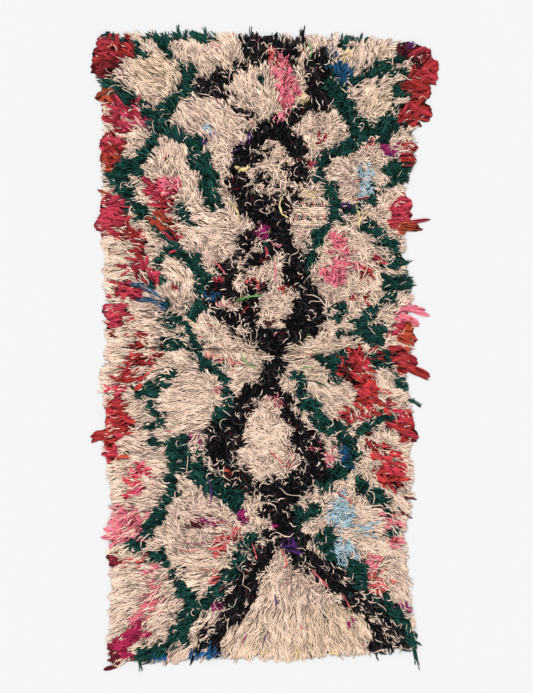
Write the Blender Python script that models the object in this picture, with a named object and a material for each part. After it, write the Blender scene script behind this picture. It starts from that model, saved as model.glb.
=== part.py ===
"""Azilal shag rug lying flat: one knotted, lumpy pile slab with loose locks of yarn and rag all round its rim.

Metres, +Z up. The origin is on the rug's flat underside, at the middle of the knotted ground.
+X runs across the rug to its right edge and +Y along it to its far end.
"""

import math
from collections import namedtuple

import bmesh
import bpy
from mathutils import Vector, noise

# Driving dimensions
PILE_HEIGHT = 0.026  # usual height of the pile as it lies, over the floor
RIM_HEIGHT = 0.012  # height of the knotted edge, where the locks leave it
SHOULDER = 0.045  # width over which the pile rises from the rim to its full height
LUMP_HEIGHT = 0.0085  # how far clumps of tufts rise and sink about the pile height
LUMP_SIZE = 0.052  # about half the distance between two clumps
FINE_SHARE = 0.55  # size and height of the small lumps, as a share of the large ones'
CORNER_CUT = 0.010  # how far the corners are drawn in
CORNER_SHARPNESS = 24  # the higher, the nearer the drawing in keeps to the corners
HALF_WIDTH = 0.50  # nominal, for reading the end edges and how far a point is from the rim
HALF_LENGTH = 1.00
CELLS_ACROSS = 33
CELLS_ALONG = 66

# Locks: a lock leaves each face of the rim and lies down on the floor
ROOT_MARGIN = 0.0016  # rim left round a lock's root
LOCK_LENGTH = 0.021  # usual reach past the rim
LOCK_SPREAD = 0.017  # how far the reach varies
LOCK_BUNCH = 0.021  # distance along the rim over which the reach varies
LOCK_LEAN = 0.30  # share of the comb direction in a lock's own direction
LOCK_BEND = 0.10  # sideways wander of a lock, as a share of its length
BEND_BUNCH = 0.030  # distance along the rim over which the wander varies
COMB_TO_ENDS = 4  # the higher, the nearer the ends the pile turns to lie along the rug
SHARP_ANGLE = math.radians(50)
# Each section of a lock: share of its length, width as a share of its root's, and height
Section = namedtuple("Section", "along width height")
LOCK_SECTIONS = (Section(0.55, 0.84, 0.0085), Section(1.00, 0.38, 0.0040))

# Where the knotted side edges run, at stations along the rug
Side = namedtuple("Side", "y left right")
SIDES = (
    Side(-1.00, -0.475, 0.490),
    Side(-0.90, -0.470, 0.490),
    Side(-0.80, -0.465, 0.470),
    Side(-0.70, -0.460, 0.460),
    Side(-0.60, -0.480, 0.452),
    Side(-0.50, -0.462, 0.470),
    Side(-0.40, -0.470, 0.470),
    Side(-0.30, -0.485, 0.465),
    Side(-0.20, -0.480, 0.475),
    Side(-0.10, -0.495, 0.455),
    Side(0.00, -0.475, 0.475),
    Side(0.10, -0.480, 0.475),
    Side(0.20, -0.480, 0.470),
    Side(0.30, -0.482, 0.450),
    Side(0.40, -0.500, 0.455),
    Side(0.50, -0.490, 0.450),
    Side(0.60, -0.495, 0.485),
    Side(0.70, -0.485, 0.485),
    Side(0.80, -0.490, 0.515),
    Side(0.90, -0.515, 0.540),
    Side(1.00, -0.500, 0.500),
)

# Where the knotted end edges run, at stations across the rug
End = namedtuple("End", "x near far")
ENDS = (
    End(-0.50, -1.005, 1.000),
    End(-0.30, -0.990, 1.000),
    End(-0.10, -0.980, 0.998),
    End(0.10, -0.980, 0.990),
    End(0.30, -0.970, 0.990),
    End(0.50, -0.955, 0.965),
)

# The long locks and rags of the rim, by where their tips lie
Tip = namedtuple("Tip", "x y")
LONG_LOCKS = (
    Tip(-0.540, 0.955), Tip(-0.545, 0.915), Tip(-0.532, 0.805), Tip(-0.518, 0.655),
    Tip(-0.523, 0.510), Tip(-0.537, 0.393), Tip(-0.508, 0.125), Tip(-0.523, -0.090),
    Tip(-0.525, -0.135), Tip(-0.545, -0.287), Tip(-0.512, -0.338), Tip(-0.513, -0.603),
    Tip(-0.497, -0.668), Tip(-0.503, -1.030),
    Tip(0.560, 0.955), Tip(0.577, 0.915), Tip(0.572, 0.860), Tip(0.555, 0.745),
    Tip(0.520, 0.712), Tip(0.510, 0.645), Tip(0.550, 0.415), Tip(0.525, 0.378),
    Tip(0.490, 0.285), Tip(0.505, 0.205), Tip(0.547, 0.105), Tip(0.550, -0.088),
    Tip(0.522, -0.182), Tip(0.510, -0.287), Tip(0.505, -0.482), Tip(0.495, -0.545),
    Tip(0.522, -0.950),
    Tip(-0.495, 1.022), Tip(-0.265, 1.043), Tip(-0.180, 1.035), Tip(-0.032, 1.043),
    Tip(0.040, 1.022), Tip(0.075, 1.022), Tip(0.135, 1.043), Tip(0.246, 1.022),
    Tip(0.330, 1.015),
    Tip(-0.380, -1.037), Tip(-0.225, -1.018), Tip(0.165, -1.010), Tip(0.380, -1.005),
    Tip(0.510, -1.035),
)

# Furrows in the pile, from one end to the other: the rug was kept folded across its middle
Furrow = namedtuple("Furrow", "x0 y0 x1 y1 width depth")
FURROWS = (
    Furrow(-0.46, 0.002, 0.02, -0.016, 0.030, 0.0090),
    Furrow(0.02, -0.016, 0.46, -0.028, 0.030, 0.0080),
    Furrow(0.20, 0.525, 0.33, 0.520, 0.024, 0.0060),
    Furrow(-0.30, -0.570, -0.08, -0.575, 0.024, 0.0050),
)

# Where the pile is worn down to the woven ground
WORN_CENTRE = Vector((0.165, 0.435))
WORN_RADIUS = 0.055
WORN_FLAT = 0.35  # share of the radius over which it is quite flat
WORN_HEIGHT = 0.011

WOOL_COLOUR = (0.68, 0.56, 0.42, 1.0)
WOOL_ROUGHNESS = 0.95


def clear_scene():
    for obj in list(bpy.data.objects):
        bpy.data.objects.remove(obj)


def smooth(t):
    """Rises from 0 to 1 with level ends."""
    t = min(1.0, max(0.0, t))
    return t * t * (3 - 2 * t)


def read_table(rows, key, column, at):
    """The value of a column of a table at a station between two of its rows."""
    for low, high in zip(rows, rows[1:]):
        start, stop = getattr(low, key), getattr(high, key)
        if at <= stop:
            break
    share = min(1.0, max(0.0, (at - start) / (stop - start)))
    return getattr(low, column) * (1 - share) + getattr(high, column) * share


def plan(u, v):
    """The point of the rug for u and v from -1 to 1, across and along its knotted ground."""
    near = read_table(ENDS, "x", "near", u * HALF_WIDTH)
    far = read_table(ENDS, "x", "far", u * HALF_WIDTH)
    y = near + (far - near) * (v + 1) / 2
    left = read_table(SIDES, "y", "left", y)
    right = read_table(SIDES, "y", "right", y)
    x = left + (right - left) * (u + 1) / 2
    corner = (abs(u) * abs(v)) ** CORNER_SHARPNESS
    return Vector((x - math.copysign(CORNER_CUT, u) * corner, y - math.copysign(CORNER_CUT, v) * corner))


def distance_to(furrow, point):
    """How far a point lies from a furrow's line."""
    start = Vector((furrow.x0, furrow.y0))
    way = Vector((furrow.x1, furrow.y1)) - start
    share = min(1.0, max(0.0, (point - start).dot(way) / way.length_squared))
    return (point - start - way * share).length


def pile_height(point, inset):
    """Height of the pile over the floor at a point that lies inset from the rim."""
    wide = noise.noise(Vector((point.x, point.y, 0.0)) / LUMP_SIZE)
    fine = noise.noise(Vector((point.x, point.y, 1.0)) / (LUMP_SIZE * FINE_SHARE))
    height = PILE_HEIGHT + LUMP_HEIGHT * (wide + FINE_SHARE * fine)
    for furrow in FURROWS:
        height -= furrow.depth * (1 - smooth(distance_to(furrow, point) / furrow.width))
    worn = 1 - smooth((point - WORN_CENTRE).length / WORN_RADIUS - WORN_FLAT)
    height += (WORN_HEIGHT - height) * worn
    return RIM_HEIGHT + (height - RIM_HEIGHT) * smooth(inset / SHOULDER)


def make_pile(mesh):
    """The slab: a lumpy sheet of cells over one flat underside. It returns the faces of the rim's wall."""
    made = bmesh.ops.create_grid(mesh, x_segments=CELLS_ACROSS, y_segments=CELLS_ALONG, size=1)
    for vert in made["verts"]:
        u, v = vert.co.x, vert.co.y
        point = plan(u, v)
        inset = min((1 - abs(u)) * HALF_WIDTH, (1 - abs(v)) * HALF_LENGTH)
        vert.co = (point.x, point.y, pile_height(point, inset))
    rim = [edge for edge in mesh.edges if edge.is_boundary]
    wall = bmesh.ops.extrude_edge_only(mesh, edges=rim)["geom"]
    for vert in [part for part in wall if isinstance(part, bmesh.types.BMVert)]:
        vert.co.z = 0
    bottom = [edge for edge in mesh.edges if edge.is_boundary]
    bmesh.ops.edgeloop_fill(mesh, edges=bottom)
    bmesh.ops.recalc_face_normals(mesh, faces=mesh.faces)
    return [part for part in wall if isinstance(part, bmesh.types.BMFace)]


def comb_direction(point):
    """The way the pile is combed: out from the long axis, and out to the ends near them."""
    along = (abs(point.y) / HALF_LENGTH) ** COMB_TO_ENDS
    return Vector((point.x / HALF_WIDTH, math.copysign(along, point.y)))


def usual_reach(root, outward):
    """How far, and which way, an ordinary lock reaches from its root."""
    length = LOCK_LENGTH + LOCK_SPREAD * noise.noise(Vector((root.x, root.y, 2.0)) / LOCK_BUNCH)
    way = outward * (1 - LOCK_LEAN) + comb_direction(root) * LOCK_LEAN
    return way.normalized() * length


def long_reaches(roots):
    """For each long lock, the index of the root nearest to its tip, and its reach."""
    reaches = {}
    for tip in LONG_LOCKS:
        place = Vector((tip.x, tip.y))
        nearest = min(range(len(roots)), key=lambda i: (roots[i] - place).length)
        reaches[nearest] = place - roots[nearest]
    return reaches


def grow_lock(mesh, face, reach):
    """Draws a rim face out into a lock of four sides that lies down on the floor and tapers to its tip."""
    corners = [Vector(vert.co) for vert in face.verts]
    middle = sum(corners, Vector()) / len(corners)
    outward = Vector((reach.x, reach.y, 0))
    sideways = outward.normalized().cross(Vector((0, 0, 1)))
    width = max((corner - middle).dot(sideways) for corner in corners) * 2
    ups = [corner.z > middle.z for corner in corners]
    sides = [math.copysign(1, (corner - middle).dot(sideways)) for corner in corners]
    wander = LOCK_BEND * outward.length * noise.noise(Vector((middle.x, middle.y, 3.0)) / BEND_BUNCH)
    for section in LOCK_SECTIONS:
        face = bmesh.ops.extrude_discrete_faces(mesh, faces=[face])["faces"][0]
        centre = middle + outward * section.along + sideways * wander * section.along
        for vert, up, side in zip(face.verts, ups, sides):
            vert.co = centre + sideways * side * width * section.width / 2
            vert.co.z = section.height if up else 0


def make_locks(mesh, wall):
    """A lock from each face of the rim's wall."""
    bmesh.ops.inset_individual(mesh, faces=wall, thickness=ROOT_MARGIN, use_even_offset=True)
    roots = [face.calc_center_median().to_2d() for face in wall]
    longs = long_reaches(roots)
    for number, face in enumerate(wall):
        outward = face.normal.to_2d().normalized()
        grow_lock(mesh, face, longs.get(number) or usual_reach(roots[number], outward))


def wool_material():
    material = bpy.data.materials.new("ivory wool")
    material.use_nodes = True
    shader = material.node_tree.nodes["Principled BSDF"]
    shader.inputs["Base Color"].default_value = WOOL_COLOUR
    shader.inputs["Roughness"].default_value = WOOL_ROUGHNESS
    shader.inputs["Metallic"].default_value = 0.0
    return material


def make_rug():
    mesh = bmesh.new()
    wall = make_pile(mesh)
    make_locks(mesh, wall)
    bmesh.ops.recalc_face_normals(mesh, faces=mesh.faces)
    data = bpy.data.meshes.new("shag_rug")
    mesh.to_mesh(data)
    mesh.free()
    data.shade_smooth()
    data.set_sharp_from_angle(angle=SHARP_ANGLE)
    data.materials.append(wool_material())
    rug = bpy.data.objects.new("shag_rug", data)
    bpy.context.scene.collection.objects.link(rug)


clear_scene()
make_rug()
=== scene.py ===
"""Looks of the azilal shag rug: its knotted pile strand by strand, its rag strips and its woven ground."""

import math
from collections import namedtuple

import bpy
import numpy as np
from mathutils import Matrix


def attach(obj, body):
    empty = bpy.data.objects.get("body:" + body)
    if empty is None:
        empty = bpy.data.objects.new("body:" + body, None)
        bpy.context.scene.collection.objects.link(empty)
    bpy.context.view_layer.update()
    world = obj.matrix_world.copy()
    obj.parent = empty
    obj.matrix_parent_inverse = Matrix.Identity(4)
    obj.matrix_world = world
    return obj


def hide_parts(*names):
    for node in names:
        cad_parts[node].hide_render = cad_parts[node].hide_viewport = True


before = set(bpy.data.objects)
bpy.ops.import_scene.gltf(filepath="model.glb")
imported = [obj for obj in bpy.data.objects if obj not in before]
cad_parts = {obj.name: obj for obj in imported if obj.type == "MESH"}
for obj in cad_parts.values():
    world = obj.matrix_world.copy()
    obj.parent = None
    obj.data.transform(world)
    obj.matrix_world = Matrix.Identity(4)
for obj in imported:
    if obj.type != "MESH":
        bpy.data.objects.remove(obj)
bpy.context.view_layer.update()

# The knotted ground and the pile's own sizes, in metres
GROUND_THICKNESS = 0.003
KNOT_GAP_X = 0.0150
KNOT_GAP_Y = 0.0165
KNOT_JITTER = 0.0040
KNOT_INSET = 0.002  # least distance of a knot from the rim
PILE_TOP = 0.026
LUMP_HEIGHT = 0.012
RIM_TOP = 0.012
RIM_RISE = 0.050  # width over which the pile rises from the rim
RIM_DROP = 0.022  # width over which the locks come down to the floor outside the rim
RIM_REACH = (0.008, 0.030)  # least and greatest reach of usual strands past the rim

# Units of the tables below, as how many of them make a metre or a whole
MM = 1000
TENTH_MM = 10000
PERCENT = 100


def columns(rows, *units):
    """The columns of a table of whole numbers, each in its unit."""
    return [np.array(column) / unit for column, unit in zip(zip(*rows), units)]


def by_yarn(rows):
    """Each row of a table with its yarn, which is the last word before it."""
    for row in rows:
        if isinstance(row, str):
            yarn = row
        else:
            yield yarn, row


def line_points(values):
    """The points of a line, in metres, from its coordinates in turn."""
    return np.array(values).reshape(-1, 2) / MM


# Where the knotted side edges run: place along the rug, left and right edge
SIDES = (
    (-1000, -475, 490), (-900, -470, 490), (-800, -465, 470), (-700, -460, 460), (-600, -480, 452),
    (-500, -462, 470), (-400, -470, 470), (-300, -485, 465), (-200, -480, 475), (-100, -495, 455),
    (0, -475, 475), (100, -480, 475), (200, -480, 470), (300, -482, 450), (400, -500, 455),
    (500, -490, 450), (600, -495, 485), (700, -485, 485), (800, -490, 515), (900, -515, 540),
    (1000, -500, 500),
)
SIDE_Y, SIDE_LEFT, SIDE_RIGHT = columns(SIDES, MM, MM, MM)

# Where the knotted end edges run: place across the rug, near and far edge
ENDS = (
    (-500, -1005, 1000), (-300, -990, 1000), (-100, -980, 998), (100, -980, 990), (300, -970, 990),
    (500, -955, 965),
)
END_X, END_NEAR, END_FAR = columns(ENDS, MM, MM, MM)

# Which way the pile lies at stations over the rug: x, y, heading in degrees from +X, and percent of jumble
COMBS = (
    (-450, 980, 135, 25), (-250, 1000, 100, 30), (0, 990, 90, 20), (150, 980, 85, 30), (350, 980, 65, 25),
    (480, 960, 50, 30), (-480, 900, 170, 20), (-350, 870, 142, 12), (-180, 930, 115, 20),
    (0, 880, 105, 20), (120, 850, 80, 40), (350, 900, 60, 25), (500, 880, 20, 30), (-450, 790, 160, 20),
    (-330, 810, 140, 12), (-200, 760, 140, 12), (0, 820, 110, 20), (200, 800, 95, 40), (360, 820, 50, 20),
    (500, 780, 10, 30), (-450, 700, 150, 25), (-250, 700, 140, 15), (-120, 700, 140, 12),
    (50, 700, 120, 60), (200, 700, 60, 70), (330, 660, 50, 60), (450, 720, 45, 30), (-450, 630, 165, 30),
    (-280, 600, 105, 15), (-120, 620, 130, 40), (50, 600, 90, 80), (380, 560, -10, 40), (480, 600, 0, 30),
    (-480, 500, 175, 20), (-350, 520, 170, 30), (-200, 500, 120, 30), (0, 500, 90, 80),
    (270, 550, 195, 25), (400, 500, -30, 50), (-480, 420, 175, 15), (-300, 450, 170, 30),
    (-150, 400, 155, 15), (20, 420, 90, 80), (220, 420, 0, 50), (350, 420, 30, 70), (470, 400, 0, 20),
    (-450, 320, 160, 20), (-350, 280, 155, 25), (-240, 250, 120, 15), (-100, 300, 160, 50),
    (100, 300, 60, 90), (280, 300, -20, 50), (440, 330, 5, 30), (-470, 200, 180, 15), (-260, 200, 115, 15),
    (-100, 200, 150, 70), (50, 150, 90, 90), (300, 200, -40, 60), (450, 200, 5, 30), (-470, 100, 180, 10),
    (-330, 100, 175, 12), (-200, 80, 170, 40), (0, 80, 90, 90), (200, 80, -60, 70), (350, 80, -10, 50),
    (480, 80, 0, 30), (-450, 0, 180, 10), (-300, 0, 180, 15), (-100, -30, 150, 40), (150, -20, 0, 30),
    (350, -30, 0, 40), (480, -30, 0, 30), (-450, -100, 182, 10), (-250, -100, 180, 12),
    (-100, -80, 160, 40), (50, -150, -60, 90), (200, -130, -35, 30), (380, -120, -25, 25),
    (480, -120, -30, 25), (-450, -200, 182, 15), (-220, -180, 183, 12), (0, -250, 180, 60),
    (200, -200, -35, 40), (400, -200, -15, 35), (-470, -350, 183, 10), (-330, -350, 178, 12),
    (-150, -380, 150, 60), (30, -330, 140, 30), (200, -350, 0, 70), (450, -370, -25, 15),
    (-450, -450, 185, 12), (-330, -450, 180, 15), (-200, -470, 130, 30), (0, -480, 120, 70),
    (300, -450, -45, 60), (450, -450, -20, 20), (-420, -550, 205, 15), (-200, -550, 150, 20),
    (0, -550, 90, 80), (350, -550, -5, 20), (450, -570, -25, 20), (-420, -650, 195, 15),
    (-200, -650, 170, 30), (50, -650, -90, 70), (370, -650, -10, 30), (450, -650, -20, 15),
    (-430, -750, 195, 15), (-200, -720, 190, 20), (50, -750, 258, 35), (200, -750, -60, 50),
    (430, -770, -35, 15), (-430, -850, 198, 12), (-300, -870, 205, 12), (-50, -850, 240, 25),
    (100, -850, -100, 12), (250, -870, -60, 12), (400, -850, -35, 20), (480, -880, -40, 30),
    (-430, -950, 210, 20), (-250, -950, 225, 15), (-50, -950, -115, 12), (100, -950, -90, 12),
    (300, -950, -65, 12), (420, -950, -55, 20), (500, -980, -60, 20),
)
COMB_X, COMB_Y, COMB_HEADING, COMB_JUMBLE = columns(COMBS, MM, MM, 1, PERCENT)

# Each yarn: the batch it is joined in, its place in that batch's palette, radius, length and strands a knot
Yarn = namedtuple("Yarn", "batch hue radius length strands")
YARNS = {
    "ivory": Yarn("ivory", 0.45, 0.00200, 0.060, 4.95),
    "cream": Yarn("ivory", 0.82, 0.00200, 0.052, 4.95),
    "pale": Yarn("ivory", 0.38, 0.00200, 0.056, 4.95),
    "green": Yarn("green", 0.50, 0.00190, 0.036, 5.6),
    "black": Yarn("black", 0.45, 0.00190, 0.036, 5.8),
    "red": Yarn("red", 0.50, 0.00190, 0.046, 1.5),
    "deep red": Yarn("red", 0.88, 0.00190, 0.046, 1.5),
    "orange": Yarn("red", 0.10, 0.00190, 0.046, 1.5),
    "crimson": Yarn("red", 0.70, 0.00190, 0.050, 1.8),
    "maroon": Yarn("red", 0.98, 0.00190, 0.042, 2.0),
    "pink": Yarn("pink", 0.50, 0.00200, 0.030, 6.5),
    "faded pink": Yarn("pink", 0.42, 0.00200, 0.040, 5.2),
    "hot pink": Yarn("pink", 0.84, 0.00200, 0.044, 5.0),
    "raspberry": Yarn("pink", 1.00, 0.00200, 0.040, 6.0),
    "coral": Yarn("pink", 0.10, 0.00200, 0.036, 5.0),
    "sky": Yarn("blue", 0.10, 0.00215, 0.030, 10.0),
    "bright blue": Yarn("blue", 0.58, 0.00200, 0.036, 7.0),
    "blue": Yarn("blue", 0.85, 0.00200, 0.034, 7.5),
    "yellow": Yarn("oddment", 0.05, 0.00210, 0.030, 6.0),
    "lime": Yarn("oddment", 0.30, 0.00200, 0.030, 6.0),
    "purple": Yarn("oddment", 0.60, 0.00200, 0.030, 6.5),
    "magenta": Yarn("oddment", 0.90, 0.00210, 0.030, 6.5),
}

# The pattern. Bands, lines of knots of one yarn: how wide, and the points they pass
BANDS = (
    "green", (50, -340, 1000, -170, 1000), (40, -470, 1000, -380, 930),
    (50, -310, 980, -290, 900, -250, 880), (50, -230, 880, -230, 820),
    (48, -270, 810, -290, 770, -310, 720), (48, -530, 860, -420, 800, -350, 740, -280, 690, -220, 660),
    (55, -220, 660, -190, 590, -160, 540, -150, 470), (35, -320, 700, -360, 660, -390, 600),
    (60, -400, 580, -480, 560, -440, 500), (40, -440, 500, -380, 430, -310, 380, -290, 330, -220, 280),
    (45, -220, 280, -180, 230, -190, 160, -210, 100), (30, -250, 430, -210, 400),
    (25, -320, 310, -320, 220, -360, 210), (35, -300, 120, -260, 70, -220, 50, -200, 10),
    (30, -290, 30, -240, 10), (18, -300, 0, -210, 0),
    (42, -200, -10, -160, -60, -110, -110, -100, -170, -140, -250), (30, -270, -80, -340, -110),
    (42, -340, -150, -380, -130), (22, -360, -180, -310, -220, -360, -250, -350, -300),
    (30, -350, -300, -220, -300), (65, -270, -320, -220, -380, -160, -440, -100, -510),
    (45, -270, -380, -280, -460, -340, -550, -400, -630),
    (45, -340, -660, -280, -690, -250, -750, -230, -800),
    (42, -30, -610, -90, -700, -140, -790, -230, -840),
    (42, -230, -840, -260, -920, -330, -970, -410, -1000), (45, 270, 980, 330, 1010),
    (36, 500, 975, 440, 935, 380, 905, 340, 885, 300, 845), (26, 470, 885, 385, 872),
    (44, 420, 820, 520, 832), (75, 230, 870, 250, 790, 300, 720), (50, 300, 720, 380, 700, 480, 750),
    (18, 380, 720, 420, 780), (42, 340, 680, 270, 640, 200, 600, 180, 540), (30, 390, 690, 410, 640),
    (45, 200, 540, 230, 480, 240, 430, 190, 370, 160, 290, 130, 240),
    (28, 250, 450, 310, 440, 360, 500, 420, 530), (70, 430, 570, 480, 560),
    (38, 340, 390, 400, 340, 450, 300), (35, 400, 270, 480, 270), (50, 410, 210, 490, 210),
    (35, 420, 170, 360, 130, 320, 80, 380, 50), (48, 250, 120, 260, 110), (30, 330, 40, 380, 20),
    (40, 190, -30, 270, -30), (16, 240, -40, 240, -100), (45, 120, -90, 130, -150, 180, -220, 270, -280),
    (45, 270, -280, 290, -340, 250, -390, 200, -440), (28, 350, -50, 430, -60), (20, 250, 35, 330, 45),
    (18, 300, 80, 410, 65), (22, 390, -30, 460, -40), (20, 440, -90, 480, -115),
    (35, 440, -110, 510, -170), (38, 320, -270, 400, -220),
    (38, 310, -430, 380, -480, 420, -520, 430, -590), (50, 120, -540, 180, -520),
    (55, 200, -600, 240, -670, 310, -700, 320, -760), (42, 320, -760, 400, -810, 460, -880, 500, -970),
    "black", (55, -40, 1000, -20, 940), (40, 90, 970, 90, 920),
    (22, 130, 1010, 140, 960), (14, 20, 920, -80, 910, -110, 890), (60, -120, 870, -170, 830, -130, 810),
    (16, -120, 820, -100, 770, -50, 750), (24, -50, 750, 10, 720), (55, 180, 900, 180, 840, 190, 790),
    (35, 170, 780, 120, 740, 30, 710), (60, 30, 710, -10, 670),
    (60, -10, 670, -60, 610, -80, 540, -40, 480), (55, 60, 690, 120, 640, 130, 580, 110, 520, 100, 470),
    (90, -20, 460, 60, 430, 50, 380), (35, -10, 380, -60, 320, -100, 250),
    (70, -100, 250, -140, 170, -130, 120), (50, -110, 100, -50, 60, 20, 20),
    (50, 50, 360, 100, 300, 130, 220, 170, 150), (70, 170, 150, 140, 80, 70, 30), (45, 20, 310, -20, 280),
    (45, -20, 200, -40, 140), (55, 40, 20, 50, -40, 30, -110), (60, 20, -110, -50, -170, -80, -240),
    (70, -80, -240, -140, -320, -120, -370, -60, -420), (50, -60, -420, 0, -460, 50, -460, 100, -420),
    (45, 50, -130, 90, -200, 120, -270), (70, 140, -300, 170, -350, 140, -410), (50, 40, -470, 50, -550),
    (70, 40, -580, 120, -610), (74, 20, -660, -40, -730, -70, -800, -100, -870),
    (48, -100, -860, -140, -930, -170, -990), (20, -160, -880, -220, -990),
    (55, 190, -380, 120, -450, 60, -520), (62, 120, -660, 190, -690, 250, -760),
    (55, 250, -760, 310, -840, 360, -900, 400, -980), (30, 340, -800, 400, -860, 460, -960),
    (40, 360, -930, 420, -970), "cream", (170, -20, -930, 270, -910), (50, 100, -20, 190, -20),
)

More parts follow.
